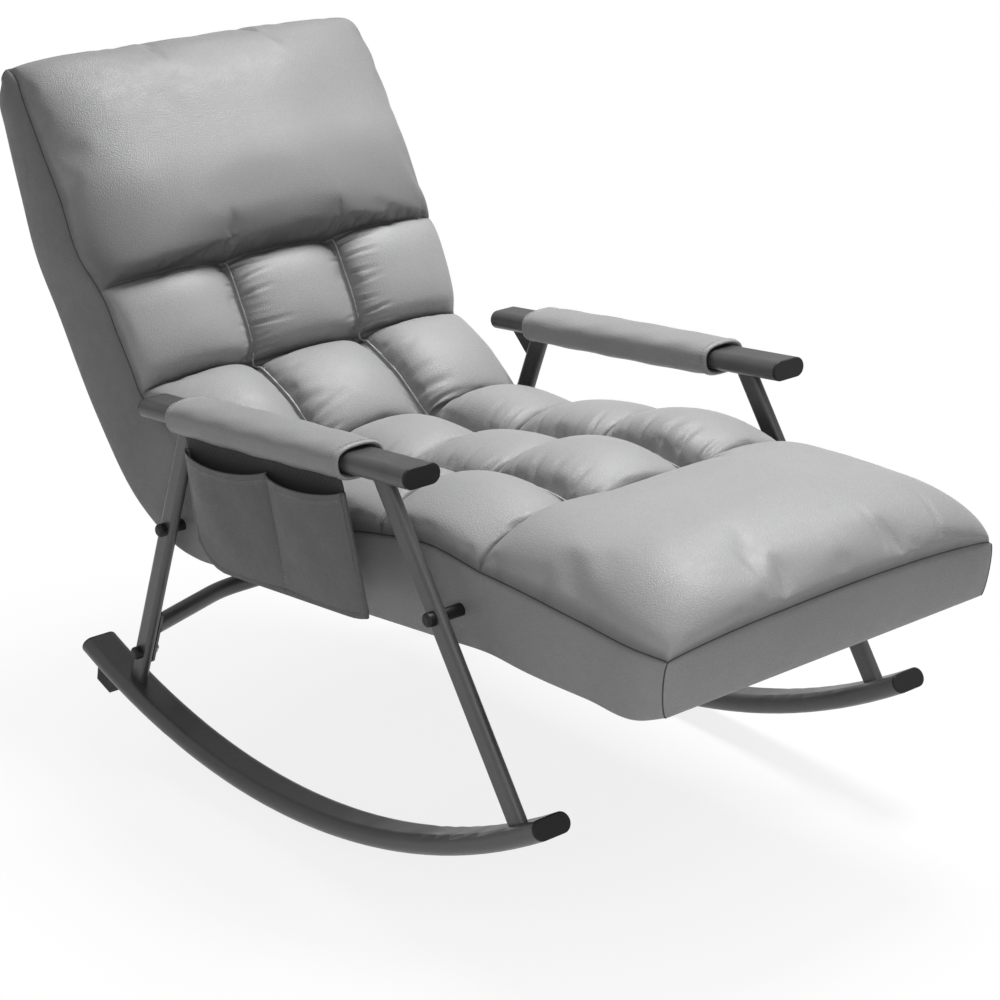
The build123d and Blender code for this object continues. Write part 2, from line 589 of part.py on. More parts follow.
def cushion_section(bottom, seam, half_width, shoulder, valley, crown, tufted):
    """One cross section of the cushion, in the plane through its bottom edge and its side seams.

    The side bands bulge a little, the shoulders are round, and the top is one crown, or three
    crowns between the two tuft seams.
    """
    base = Vector(0, *bottom)
    up = Vector(0, *seam) - base
    height = up.length
    up = up.normalized()
    plane = Plane(origin=base, x_dir=(1, 0, 0), z_dir=(0, -up.Z, up.Y))
    low = half_width - BOXING_BULGE
    inner = half_width - SHOULDER_WIDTH
    right = [(half_width, height), (inner, height + shoulder)]
    left = [(-inner, height + shoulder), (-half_width, height)]
    corner_rise = -0.18 * math.hypot(SHOULDER_WIDTH, shoulder)
    edges = [Line((-low, 0), (low, 0)),
             bulged((low, 0), right[0], -BOXING_BULGE),
             bulged(right[0], right[1], corner_rise)]
    if tufted:
        seam_up = height + valley
        edges += [bulged(right[1], (COLUMN_SEAM, seam_up), -crown),
                  bulged((COLUMN_SEAM, seam_up), (-COLUMN_SEAM, seam_up), -crown),
                  bulged((-COLUMN_SEAM, seam_up), left[0], -crown)]
    else:
        edges += [bulged(right[1], left[0], -crown)]
    edges += [bulged(left[0], left[1], corner_rise),
              bulged(left[1], (-low, 0), -BOXING_BULGE)]
    return plane * make_face([e for curve in edges for e in curve.edges()])


CREASE = {"shoulder": 32.0, "valley": 26.0, "crown": 9.0}
TUFT = {"shoulder": 46.0, "valley": 36.0, "crown": 24.0}


def seat_station(share, form, seam_lift=0.0, more=0.0):
    """A level seat section: its seam stands one side band above the bottom."""
    y = FOOT_HINGE.Y + share * (BACK_HINGE.Y - FOOT_HINGE.Y)
    return dict(bottom=(y, SEAT_BOTTOM), seam=(y, SEAT_BOTTOM + BOXING + seam_lift),
                half_width=SEAT_HALF_WIDTH, shoulder=form["shoulder"] + more,
                valley=form["valley"] + more, crown=form["crown"])


def from_back(dy, dz):
    return (BACK_HINGE.Y + dy, BACK_HINGE.Z + dz)


def from_foot(dy, dz):
    return (FOOT_HINGE.Y + dy, FOOT_HINGE.Z + dz)


def back_station(bottom, seam, half_width, form):
    return dict(bottom=from_back(*bottom), seam=from_back(*seam), half_width=half_width, **form)


def smooth_section(bottom, seam, half_width, shoulder, crown):
    return cushion_section(bottom, seam, half_width, shoulder, 0.0, crown, False)


def seat_rows():
    """Sections of the tufted rows, from the footrest to the head; each row runs from crease to crease."""
    first, second, third = ROW_SEAMS
    knee_share = KNEE_SEAM / (BACK_HINGE.Y - FOOT_HINGE.Y)
    knee = seat_station(knee_share, CREASE, 0.0, 20.0)
    front = seat_station(first, CREASE, 10.0, 10.0)
    middle = seat_station(second, CREASE, -4.0)
    rear = seat_station(third, CREASE, 13.0)
    lumbar = back_station((3, -28), (17, 169), 270, dict(CREASE, valley=10.0, shoulder=18.0))
    crease = back_station((202, 263), (74, 307), 287, dict(CREASE, valley=18.0, shoulder=24.0))
    return [
        [knee, seat_station((knee_share + first) / 2, TUFT, 18.0, 8.0), front],
        [front, seat_station((first + second) / 2, TUFT, 0.0, 2.0), middle],
        [middle, seat_station((second + third) / 2, TUFT), rear],
        [rear, back_station((-57, -50), (-57, 115), 265, dict(TUFT, crown=22.0)), lumbar],
        [lumbar, back_station((61, 15), (30, 205), 275, dict(TUFT, valley=24.0, crown=20.0)),
         back_station((133, 119), (49, 251), 281, dict(TUFT, valley=28.0)), crease],
    ]


def foot_sections():
    """The smooth footrest, from its crease to its rounded front edge."""
    return [smooth_section(from_foot(KNEE_SEAM, -SEAT_DROP), from_foot(KNEE_SEAM, BOXING - SEAT_DROP),
                           SEAT_HALF_WIDTH, 48, 9),
            smooth_section(from_foot(-62, -57), from_foot(-62, 43), FOOT_HALF_WIDTH - 1, 58, 23),
            smooth_section(from_foot(-172, -63), from_foot(-174, 28), FOOT_HALF_WIDTH, 56, 25),
            smooth_section(from_foot(-264, -64), from_foot(-273, 18), FOOT_HALF_WIDTH + 1, 42, 15),
            smooth_section(from_foot(-298, -54), from_foot(-311, 14), FOOT_HALF_WIDTH - 2, 14, 5)]


def head_sections():
    """The smooth head pillow, from its crease to the top edge."""
    return [smooth_section(from_back(202, 263), from_back(74, 307), 287, 26, 8),
            smooth_section(from_back(226, 333), from_back(111, 355), HEAD_HALF_WIDTH - 2, 46, 24),
            smooth_section(from_back(251, 427), from_back(132, 441), HEAD_HALF_WIDTH, 48, 26),
            smooth_section(from_back(269, 523), from_back(175, 527), HEAD_HALF_WIDTH - 1, 34, 18),
            smooth_section(from_back(270, 587), from_back(221, 587), HEAD_HALF_WIDTH - 14, 12, 6)]


def cushion_form():
    """The whole chaise cushion as one form: foot, seat rows, back rows and head."""
    whole = loft(foot_sections())
    for row in seat_rows():
        whole = whole + loft([cushion_section(tufted=True, **station) for station in row])
    return whole + loft(head_sections())


def ray(hinge, angle, reach=FAR):
    """A far point from a hinge, at an angle from straight up, leaning to the rear."""
    lean = math.radians(angle)
    return (hinge.Y + reach * math.sin(lean), hinge.Z + reach * math.cos(lean))


def shifted(points, dy, dz=0.0):
    return [(y + dy, z + dz) for y, z in points]


def frame_recess():
    """The hollow that the frames lie in, open to the underside and to the rear of the back."""
    half = RAIL_X + RAIL_DIAMETER / 2 + RECESS_WALL
    lift = RAIL_DIAMETER / 2 + STRAP_THICKNESS + STRAP_CLEARANCE
    back_lift = FRAME_DIAMETER / 2 + STRAP_THICKNESS + STRAP_CLEARANCE
    ceiling = RAIL_HEIGHT + lift
    low_dir, high_dir = direction(BACK_LOWER_ANGLE), direction(BACK_UPPER_ANGLE)
    low_off = Vector(0, -low_dir.Z, low_dir.Y) * back_lift
    high_off = Vector(0, -high_dir.Z, high_dir.Y) * back_lift
    start = BACK_HINGE + low_off
    start = start + low_dir * ((ceiling - start.Z) / low_dir.Z)
    bend = BACK_KNEE + (low_off + high_off) * 0.5
    end = BACK_END + high_off + high_dir * (FRAME_DIAMETER / 2 + RECESS_WALL)
    behind = end + Vector(0, high_dir.Z, -high_dir.Y) * 400
    toe = FOOT_END + direction(FOOT_ANGLE) * (FRAME_DIAMETER / 2 + RECESS_WALL)
    points = [(toe.Y, 0), (toe.Y, FOOT_END.Z + back_lift), (FOOT_HINGE.Y, ceiling), (start.Y, start.Z),
              (bend.Y, bend.Z), (end.Y, end.Z), (behind.Y, behind.Z), (behind.Y, 0)]
    return points, half


def build_cushions():
    """The cushion cut at its two hinges, the folds between, and the cloth under the frames."""
    form = cushion_form()
    points, half = frame_recess()
    hollow = side_prism(points, -half, half)
    padded = form - hollow
    for sign in SIDES.values():
        for y, z in bolt_positions():
            low, high = sorted((sign * (half - 2), sign * FAR))
            padded = padded - cross_rod(SPACER_RADIUS + SPACER_CLEARANCE, low, high, y, z)
        for hinge in (BACK_HINGE, FOOT_HINGE):
            room = HINGE_HALF + PIVOT_HEAD + RECESS_WALL / 2
            padded = padded - cross_rod(HINGE_ROOM, sign * RAIL_X - room, sign * RAIL_X + room,
                                        hinge.Y, hinge.Z)

    upper = RECLINE_UP + 1.0
    lower = 180 - RECLINE_DOWN - 1.5
    knee_lean = FOOT_DROP / 2 + 1.0
    back_pivot = (BACK_HINGE.Y, BACK_HINGE.Z)
    foot_pivot = (FOOT_HINGE.Y, FOOT_HINGE.Z)
    crease = (BACK_HINGE.Y + 14, RAIL_HEIGHT + LUMBAR_RISE)
    tail = ray(BACK_HINGE, upper, LUMBAR_RISE / math.cos(math.radians(upper)))
    nose = ray(BACK_HINGE, -1.5 * RECLINE_UP, LUMBAR_RISE * 1.3)
    back_region = [back_pivot, tail, crease, nose, (nose[0], FAR), (FAR, FAR), (FAR, 0),
                   ray(BACK_HINGE, lower)]
    seat_region = [foot_pivot, ray(FOOT_HINGE, 0), (nose[0], FAR), nose, back_pivot, ray(BACK_HINGE, 180),
                   ray(FOOT_HINGE, 180 - knee_lean)]
    foot_region = [foot_pivot, ray(FOOT_HINGE, 0), (-FAR, FAR), (-FAR, -FAR),
                   ray(FOOT_HINGE, 180 + knee_lean)]
    back_fold = [back_pivot, nose, crease, tail]
    low_fold = [back_pivot, ray(BACK_HINGE, lower), ray(BACK_HINGE, 180)]
    knee_fold = [foot_pivot, ray(FOOT_HINGE, 180 - knee_lean), ray(FOOT_HINGE, 180 + knee_lean)]
    gap = FOLD_CLEARANCE

    def cut(source, region, width=FAR):
        return source & side_prism(region, -width, width)

    back = cut(padded, shifted(back_region, gap))
    seat = cut(padded, seat_region)
    foot = cut(padded, shifted(foot_region, -gap))
    write("cushion_back", back)
    write("cushion_seat", seat)
    write("cushion_foot", foot)
    fold = [*cut(padded, back_fold).solids(), *cut(padded, low_fold).solids()]
    write("lumbar_fold", group(fold))
    write("knee_fold", group(list(cut(padded, knee_fold).solids())))

    inner = half - FOLD_CLEARANCE
    void = form & side_prism(points, -inner, inner)
    under = Vector(0, 0, COVER)
    rearward = direction(BACK_LOWER_ANGLE / 2 + BACK_UPPER_ANGLE / 2)
    behind = Vector(0, -rearward.Z, rearward.Y) * COVER
    layer = [(-FAR, 0), (FAR, 0), (FAR, SEAT_BOTTOM + COVER), (-FAR, SEAT_BOTTOM + COVER)]
    for name, region, inward in (("seat_base_cloth", seat_region, under),
                                 ("foot_base_cloth", shifted(foot_region, -gap), under),
                                 ("back_base_cloth", shifted(back_region, gap), behind)):
        space = cut(void, region)
        skin = space - Pos(*inward) * space
        if inward is under:
            skin = cut(skin, layer)
        write(name, skin.solids().sort_by(SortBy.VOLUME)[-1])


def sleeve_section(y, x, pad):
    plane = section_plane((x, y, ARM_HEIGHT), (0, 1, 0))
    return plane * rounded_oval(OVAL_WIDTH + 2 * pad, OVAL_HEIGHT + 2 * pad)


def build_sleeves():
    """Padded sleeves round the armrest tubes, a little fuller in the middle."""
    for side, sign in SIDES.items():
        x = sign * SIDE_X
        middle = (SLEEVE_REAR - SLEEVE_FRONT) / 2
        stations = ((-SLEEVE_FRONT, SLEEVE_PAD * 0.7), (middle, SLEEVE_PAD), (SLEEVE_REAR, SLEEVE_PAD * 0.7))
        pad = loft([sleeve_section(y, x, thick) for y, thick in stations])
        bore = section_plane((x, -FAR, ARM_HEIGHT), (0, 1, 0)) * rounded_oval(
            OVAL_WIDTH + 2 * SLEEVE_CLEARANCE, OVAL_HEIGHT + 2 * SLEEVE_CLEARANCE)
        pad = pad - extrude(bore, amount=2 * FAR)
        for rear in (False, True):
            pad = pad - leg_solid(x, rear, rounded_oval(LEG_DEPTH + 2, LEG_THICKNESS + 2))
        write("armrest_sleeve_" + side, pad.solids().sort_by(SortBy.VOLUME)[-1])


def build_pocket():
    """Two cloth pockets that hang from the right sleeve's outer side."""
    outer_face = SIDE_X + OVAL_WIDTH / 2 + SLEEVE_PAD
    back_x = outer_face - POCKET_DEPTH / 2
    front_x = back_x + POCKET_DEPTH
    hang = ARM_HEIGHT
    profile = [(-POCKET_FRONT, POCKET_RIM), (POCKET_REAR, POCKET_RIM),
               (POCKET_REAR - POCKET_TAPER * 2, POCKET_BOTTOM), (-POCKET_FRONT - POCKET_TAPER, POCKET_BOTTOM)]
    bag = side_prism(profile, -front_x, -back_x)
    low = [e for e in bag.edges().filter_by(Axis.X) if e.center().Z < POCKET_BOTTOM + 1]
    bag = fillet(low, POCKET_TAPER)
    outer_edges = [e for e in bag.edges() if e.center().X < -front_x + 0.1 and e.center().Z < POCKET_RIM - 1]
    bag = fillet(outer_edges, POCKET_DEPTH * 0.4)
    cloth = POCKET_CLOTH
    split = POCKET_DIVIDER
    for front, rear in ((POCKET_FRONT, -split), (split, POCKET_REAR)):
        y_low = -front + cloth * (2 if front == POCKET_FRONT else 0.5)
        y_high = rear - cloth * (0.5 if front == POCKET_FRONT else 2)
        tilt_low = POCKET_TAPER if front == POCKET_FRONT else 0
        tilt_high = 0 if front == POCKET_FRONT else POCKET_TAPER * 2
        hole = side_prism([(y_low, POCKET_RIM + 1), (y_high, POCKET_RIM + 1),
                           (y_high - tilt_high, POCKET_BOTTOM + 2 * cloth),
                           (y_low - tilt_low, POCKET_BOTTOM + 2 * cloth)],
                          -front_x + cloth, -back_x - cloth)
        low = [e for e in hole.edges().filter_by(Axis.X) if e.center().Z < POCKET_BOTTOM + 3 * cloth]
        bag = bag - fillet(low, POCKET_TAPER * 0.7)
    flap = side_prism([(-POCKET_FRONT, POCKET_RIM - 2), (POCKET_REAR, POCKET_RIM - 2),
                       (POCKET_REAR, hang), (-POCKET_FRONT + POCKET_TAPER, hang)], -back_x - cloth, -back_x)
    sleeve = section_plane((-SIDE_X, -FAR, ARM_HEIGHT), (0, 1, 0)) * rounded_oval(
        OVAL_WIDTH + 2 * SLEEVE_PAD + 0.6, OVAL_HEIGHT + 2 * SLEEVE_PAD + 0.6)
    pocket = bag + flap - extrude(sleeve, amount=2 * FAR)
    write("side_pocket", pocket.solids().sort_by(SortBy.VOLUME)[-1])


def hex_nut(x_low, y, z):
    plane = Plane(origin=(x_low, y, z), x_dir=(0, 1, 0), z_dir=(1, 0, 0))
    shape = RegularPolygon(NUT_WIDTH / 2, 6, major_radius=False) - Circle(BOLT_RADIUS)
    return extrude(plane * shape, amount=NUT_HEIGHT)


def bolt(sign, tail, y, z):
    """A low-headed bolt from the outer face of a leg towards the middle of the chair."""
    face = SIDE_X + LEG_THICKNESS / 2
    low, high = sorted((sign * tail, sign * face))
    shank = cross_rod(BOLT_RADIUS, low, high, y, z)
    low, high = sorted((sign * face, sign * (face + BOLT_HEAD)))
    return shank + cross_rod(BOLT_HEAD_RADIUS, low, high, y, z)


def bolt_cap(sign, y, z):
    """A domed plastic cover over a bolt head."""
    face = SIDE_X + LEG_THICKNESS / 2
    low, high = sorted((sign * face, sign * (face + BOLT_CAP_HEIGHT)))
    cap = cross_rod(BOLT_CAP_RADIUS, low, high, y, z)
    outer = [e for e in cap.edges().filter_by(GeomType.CIRCLE) if abs(e.center().X) > face + 1]
    cap = fillet(outer, BOLT_CAP_HEIGHT * 0.4)
    low, high = sorted((sign * (face - 1), sign * (face + BOLT_HEAD)))
    return cap - cross_rod(BOLT_HEAD_RADIUS, low, high, y, z)


def build_fasteners():
    """Bolts that hold the seat rails and the stretcher to the legs, with spacers, nuts and caps."""
    rail_inner = RAIL_X - RAIL_DIAMETER / 2
    rail_outer = RAIL_X + RAIL_DIAMETER / 2
    leg_inner = SIDE_X - LEG_THICKNESS / 2
    plate_inner = leg_inner - PLATE_THICKNESS
    low_y = leg_y(LOW_BOLT_HEIGHT, True)
    seat_bolts, spacers, nuts, low_bolts, caps = [], [], [], [], []
    for sign in SIDES.values():
        for y, z in bolt_positions():
            seat_bolts.append(bolt(sign, rail_inner - NUT_HEIGHT - NUT_TAIL, y, z))
            low, high = sorted((sign * rail_outer, sign * leg_inner))
            ring = cross_rod(SPACER_RADIUS, low, high, y, z)
            spacers.append(ring - cross_rod(BOLT_RADIUS + BOLT_HOLE_CLEARANCE, low - 1, high + 1, y, z))
            nuts.append(hex_nut(min(sign * rail_inner, sign * (rail_inner - NUT_HEIGHT)), y, z))
            caps.append(bolt_cap(sign, y, z))
        low_bolts.append(bolt(sign, plate_inner - NUT_HEIGHT - NUT_TAIL, low_y, LOW_BOLT_HEIGHT))
        nut_x = min(sign * plate_inner, sign * (plate_inner - NUT_HEIGHT))
        nuts.append(hex_nut(nut_x, low_y, LOW_BOLT_HEIGHT))
        caps.append(bolt_cap(sign, low_y, LOW_BOLT_HEIGHT))
    write("seat_bolts", group(seat_bolts))
    write("seat_spacers", group(spacers))
    write("stretcher_bolts", group(low_bolts))
    write("lock_nuts", group(nuts))
    write("bolt_caps", group(caps))


os.makedirs("parts", exist_ok=True)
sides = {side: build_side_frame(side) for side in SIDES}
write("leg_gussets", group([gusset for _, gusset in sides.values()]))
build_end_caps()
build_stops({side: envelope for side, (envelope, _) in sides.items()})
build_stretcher()
build_seat_frame()
build_moving_frame("back", BACK_HINGE, BACK_LOWER_ANGLE, [BACK_KNEE, BACK_END], [BACK_BEND, FRAME_CORNER],
                   BACK_KNEE + direction(BACK_UPPER_ANGLE) * (STRAP_WIDTH * 1.7), direction(BACK_UPPER_ANGLE))
build_moving_frame("foot", FOOT_HINGE, FOOT_ANGLE, [FOOT_END], [FRAME_CORNER],
                   FOOT_HINGE + direction(FOOT_ANGLE) * CROSS_INSET * 1.6, direction(FOOT_ANGLE))
build_hinges("back", BACK_HINGE, 180, BACK_LOWER_ANGLE, BACK_LOWER_ANGLE + BACK_PAWL_TURN)
build_hinges("foot", FOOT_HINGE, 0, FOOT_ANGLE, FOOT_ANGLE - FOOT_PAWL_TURN)
build_webbing()
build_cushions()
build_sleeves()
build_pocket()
build_fasteners()
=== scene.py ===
"""Dresses the reclining rocking chair: tufted leather chaise, padded arms, pocket, paint and studio.

The chair stands leaning back at its balance. Pieces are laid out in the level frame of the seat, where
the two hinge lines are at one height, and are then placed into the frame of the CAD model.
"""
import json
import math

import bmesh
import bpy
import numpy as np
from mathutils import Matrix, Vector


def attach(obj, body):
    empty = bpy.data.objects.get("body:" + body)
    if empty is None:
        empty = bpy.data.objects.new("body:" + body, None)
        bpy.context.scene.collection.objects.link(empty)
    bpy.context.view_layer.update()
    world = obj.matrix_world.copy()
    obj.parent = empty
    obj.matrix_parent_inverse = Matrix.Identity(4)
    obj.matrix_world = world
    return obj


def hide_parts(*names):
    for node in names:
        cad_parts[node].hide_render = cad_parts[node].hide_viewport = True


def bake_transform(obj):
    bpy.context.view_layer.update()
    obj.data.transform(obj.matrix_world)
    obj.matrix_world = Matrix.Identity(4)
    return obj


bl_info = {
    "name": "Reclining Rocking Chair",
    "version": (1, 0, 0),
    "blender": (4, 5, 0),
    "location": "View3D > Sidebar > Rocking Chair",
    "description": "Builds the tufted chaise, armrest sleeves, pocket, finishes and studio"
                   " of a rocking chair",
    "category": "Add Mesh",
}

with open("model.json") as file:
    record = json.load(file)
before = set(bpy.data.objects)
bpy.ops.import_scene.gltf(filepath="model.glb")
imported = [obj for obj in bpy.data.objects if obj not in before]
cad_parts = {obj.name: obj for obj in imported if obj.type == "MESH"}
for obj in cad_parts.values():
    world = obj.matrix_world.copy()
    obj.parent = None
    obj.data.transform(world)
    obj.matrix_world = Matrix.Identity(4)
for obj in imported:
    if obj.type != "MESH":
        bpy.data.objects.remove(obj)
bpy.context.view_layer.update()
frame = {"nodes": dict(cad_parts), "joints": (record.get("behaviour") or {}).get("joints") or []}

# Level frame of the seat: Y from the foot hinge towards the back hinge, Z square to it, X across.
JOINTS = {joint["name"]: joint for joint in frame["joints"]}
BACK_PIVOT = np.array(JOINTS["backrest_recline"]["pos_m"])
FOOT_PIVOT = np.array(JOINTS["footrest_fold"]["pos_m"])
HINGE_SPAN = float(np.linalg.norm(BACK_PIVOT - FOOT_PIVOT))
LEVEL_Y = (BACK_PIVOT - FOOT_PIVOT) / HINGE_SPAN
LEVEL_Z = np.array([0.0, -LEVEL_Y[2], LEVEL_Y[1]])
HINGE_HEIGHT = 0.343       # hinge lines above the floor while the seat is level
BACK_HINGE_Y = 0.315       # back hinge behind the middle of the rockers
FOOT_HINGE_Y = BACK_HINGE_Y - HINGE_SPAN

# Side view of the chaise: underside edge, top seam, half width and forward lean of the padding.
# Foot stations are (y, z) from the foot hinge, back stations from the back hinge, in millimetres.
FOOT_STATIONS = (
    ((-299, -55), (-313, 14), 263, 34),
    ((-264, -65), (-274, 18), 270, 14),
    ((-172, -64), (-174, 28), 266, 0),
    ((-62, -58), (-62, 43), 264, 0),
)
KNEE_STATION = ((7, -51), (7, 51), 262, 0)
SEAT_STATIONS = (
    ((98, -51), (98, 67), 262, 0),
    ((190, -51), (190, 63), 262, 0),
    ((281, -51), (281, 52), 262, 0),
    ((372, -51), (372, 45), 262, 0),
    ((460, -51), (460, 48), 262, 0),
    ((548, -51), (548, 62), 263, 0),
)
BACK_STATIONS = (
    ((-57, -50), (-57, 115), 264, 0),
    ((3, -28), (17, 169), 269, 0),
    ((61, 15), (30, 205), 273, 0),
    ((133, 119), (49, 251), 277, 0),
    ((202, 263), (74, 307), 281, 0),
    ((226, 333), (108, 352), 288, 0),
    ((251, 427), (141, 431), 288, 0),
    ((268, 519), (180, 510), 289, 0),
    ((275, 552), (204, 556), 288, 0),
    ((273, 566), (229, 591), 283, 0),
    ((268, 572), (250, 598), 279, 0),
)
# Zones between sewn seams, from the foot end: first station, last station and number of quads along.
ZONES = (("foot", 0, 4, 44), ("row5", 4, 6, 32), ("row4", 6, 8, 26), ("row3", 8, 10, 22),
         ("row2", 10, 12, 26), ("row1", 12, 15, 32), ("head", 15, 21, 52))
COLUMN_QUADS = (32, 24, 32)
BAND_QUADS = 12
UNDER_STEP = 4             # top quads to one quad of the underside
# Padding over the top seam in millimetres: at the column seams, middle column and side columns.
CREASES = {"knee": (34, 44, 46), "row5": (20, 35, 40), "row4": (12, 26, 34), "row3": (11, 25, 34),
           "row2": (3, 11, 21), "row1": (11, 20, 25)}
PILLOWS = {"row5": (28, 69, 67), "row4": (21, 66, 68), "row3": (19, 64, 68), "row2": (19, 60, 62),
           "row1": (19, 55, 54)}
TUFT_FULLNESS = 0.9        # how full the rows are between their creases; less is fuller
COLUMN_FULLNESS = 0.85     # the same between the column seams
GENTLE_SIDE = 0.95         # how much gentler the pillows fall on the +X side of their crest
NEAR_DROP = {"row5": 9, "row4": 7, "row3": 4}   # how much lower the -X column is filled
# Foot and head pillow, in metres: crown at its outer edge and at its seam, lengths over which it opens
# at the seam and closes at the edge, lip at the edge, squareness on the +X side and the seam's row.
END_PILLOWS = {
    "foot": {"edge": 0.084, "seam": 0.068, "opens": 0.075, "closes": 0.115, "lip": 0.024, "square": 5,
             "row": "knee"},
    "head": {"edge": 0.066, "seam": 0.103, "opens": 0.15, "closes": 0.095, "lip": 0.0, "square": 2.5,
             "row": "row1"},
}
END_FLAT = 0.62            # share of an end pillow's half width that stays flat on the -X side
LIP_SQUARE = 2.4
COLUMN_RUN_OUT = 0.03      # length over which the column seams run out past the outer creases
CHAISE_DRIFT = (0.0015, -0.012)   # sideways lie of the cushion at the foot end and at the back
TUFT_DIP = (0.006, 0.024)  # extra pull where tuft seams cross, and its reach
SEAM_GROOVE = (0.0016, 0.0026)  # depth and width of the groove along the outer seams
SEAM_RIDGE = (0.0013, (0.0020, -0.0022, 0.0040))   # ridge along the column seams: radius and lie
FRONT_RIDGE_LIE = 0.1      # share of that lie in the front half
RIM_RADIUS = 0.0009        # painted shadow line in the outer seams
RIDGE_OVERLAP = 0.002      # how far ridges run past the split
BEND_SPREAD = 0.055        # length over which the padding's direction follows the side seam
EDGE_LIP = (0.0035, 0.013)  # how far the top panel hangs over its side seam, and how far in that peaks
EDGE_CALM = 0.02           # folds and dips fade out this near to the outer seam
BAND_EDGE = 0.008          # width of the strip of band next to its seam
BAND_CROWD = 0.08
BAND_FULLNESS = 0.55
BAND_TUCK = 0.004          # how far the bands draw in at their lower edge
END_BULGE = 0.010          # how far the panels at the foot end and the head stand out
TOP_SWELL = 0.0011
BAND_SWELL = 0.0012
# Padding over which the swell, the roll and the lip come in
SWELL_IN, ROLL_IN, LIP_IN = 0.05, 0.06, 0.03
ROW_ROLL = {"row5": 0.004, "row4": 0.008, "row3": 0.010, "row2": 0.012, "row1": 0.014}
HEAD_ROLL_LENGTH = 0.12
KNEE_ROLL = (0.010, 0.09)  # how far the foot pillow rolls over the knee seam, and over what length
# Folds along the seams: ranges of depth, length and width, spread of slant and place, start and form
FOLD_DEPTHS, FOLD_LENGTHS, FOLD_WIDTHS = (0.5, 1.0), (0.55, 1.25), (0.8, 1.25)
FOLD_SLANTS, FOLD_PLACES = (-0.22, 0.22), (-0.004, 0.004)
FOLD_START = 0.007         # distance from the seam over which a fold deepens
FOLD_SPLAY = 6             # how much wider a fold gets away from its seam
FOLD_SHOULDER = (0.42, 1.7, 0.8)   # height, place and width of the raised shoulders
ROW_FOLDS = {"row5": (6, 1.35), "row4": (5, 1.3), "row3": (5, 1.2), "row2": (6, 0.9), "row1": (7, 1.0)}
COLUMN_FOLDS = ((1, 1.0, 0.058), (-1, 0.5, 0.030))   # direction from the column seam, share and length
COLUMN_FOLD_WIDTH = 0.0036
COLUMN_FOLD_SLANT = 0.12
FRONT_FOLDS_IN = 0.006     # from the foot end's edge to the start of its folds
# Painted shade on the leather in its creases and hollows, along and beside its column seams, where seams
# cross, under the head and by the head's top edge: share, and distance over which it fades
PAINTED_SHADE = {"crease": (1.0, 0.0055), "column": (0.35, 0.0055), "hollow": (0.20, 0.018),
        "crossing": (0.75, 0.013), "column side": (0.34, 0.030), "under head": (0.95, 0.12),
        "head edge": (0.50, 0.13), "rim": (0.8, 0.003)}
COLUMN_SIDE = 0.06         # furthest that the painted shade beside a column seam reaches
BAND_PAINTED_SHADE = (0.58, 0.26, 0.12)   # painted shade on the back's bands: share, where it starts and its length, in CAD Y
PAINTED_SHADE_TONE = 0.08           # darkest painted shade, as a share of the leather's colour
# share of the painted shade that the chaise's leather takes
PAINTED_SHADE_SHARE = 0.72
# tone of the painted shadow lines in the outer seams, as a share of the band leather's colour
SHADOW_TONE = 0.16
FAR = 1.0                  # distance where nothing of a seam is left
SPLIT_STATION = 8          # the sewn seam where the front half of the chaise meets the rear half
# Leather as cloth while it swells
CLOTH = {"quality": 6, "mass": 0.35, "tension_stiffness": 25.0, "compression_stiffness": 25.0,
         "shear_stiffness": 10.0, "bending_stiffness": 6.0, "use_pressure": True}
SWELL_FRAMES = 20
LAYERS = ("reach", "across", "inset", "top")   # where a point lies on the top panel
ON_TOP, OFF_TOP = 0.999, 1e-4
TOP, BAND, UNDER = 0, 1, 2  # material numbers

# Armrests, in the level frame
ARM_X = 0.300
ARM_Z = 0.513
TUBE_HALF = (0.0275, 0.013)
SLEEVE_ENDS = (-0.192, 0.186)
SLEEVE_PAD = 0.0105
# End of a sleeve from its bore to its body: how far in from the end, and padding over the tube.
SLEEVE_HEM = ((0.030, 0.0006), (0.018, 0.0016), (0.006, 0.0032), (0.0012, 0.0044), (0.0, 0.0060),
              (0.0008, 0.0078), (0.0030, 0.0091), (0.0065, 0.0095), (0.0110, 0.0094), (0.0124, 0.0087),
              (0.0134, 0.0086), (0.0148, 0.0092))
HEM_STITCH = 6             # which of these the stitches lie on
HEM_STITCH_IN = 0.004      # how far further in they lie
SLEEVE_STEP = 0.006        # from the hem to the first ring of the body
SLEEVE_RINGS = 44
SLEEVE_WRINKLE = 0.0005
RING_SQUARE = 2.7          # 2 is an ellipse, more is squarer
RING_POINTS = 48
STITCH_LIFT = 0.0006
STITCH_SHARE = 0.66        # length of a stitch as a share of the pitch
POCKET_X = 0.3245          # back panel of the pocket
POCKET_RIM = 0.478
POCKET_TOP = 0.508         # where the back panel is sewn to the sleeve
POCKET_LOW = 0.323
POCKET_FRONT = (-0.184, -0.210)   # front edge at the rim and at the bottom
POCKET_REAR = (0.154, 0.146)
POCKET_SPLIT = 0.46        # seam between the two pouches, as a share of the way from the front edge
POCKET_GAPE = 0.0165
POCKET_HEM = 0.011
POCKET_CLOTH = 0.0022
POCKET_DIP = (0.010, 0.0065)      # how far the rim hangs in the rear pouch and in the front pouch
POCKET_CORNERS = ((0.84, 0.16, 0.030, 2.2), (0.1, -0.1, 0.004, 2))   # start, length, rise and form
POCKET_FLAP = 0.2          # share of the back panel that is above the rim
FLAP_LEAN = 0.007          # how far it leans out to the sleeve
PANEL_GRID = (57, 30)
POUCH_ROWS = (0, 0.012, 0.03, 0.05, 0.06, 0.066, 0.074, 0.082, 0.1)   # lines close together at the hem
POUCH_SEWN = 0.0012        # lift of the pouches where they are sewn down
HEM_THICK = 0.0011
TAPE = (0.0095, 0.0062)    # width and thickness of the binding
TAPE_LIFT = 0.0016
TAPE_LOW = 0.985           # its lower edge, as a share of the pocket's depth
HEM_SEWN = 0.055           # stitched line of the hem, the same way
HEM_BREAK = 0.006          # the hem's stitches stop this near to the seam between the pouches
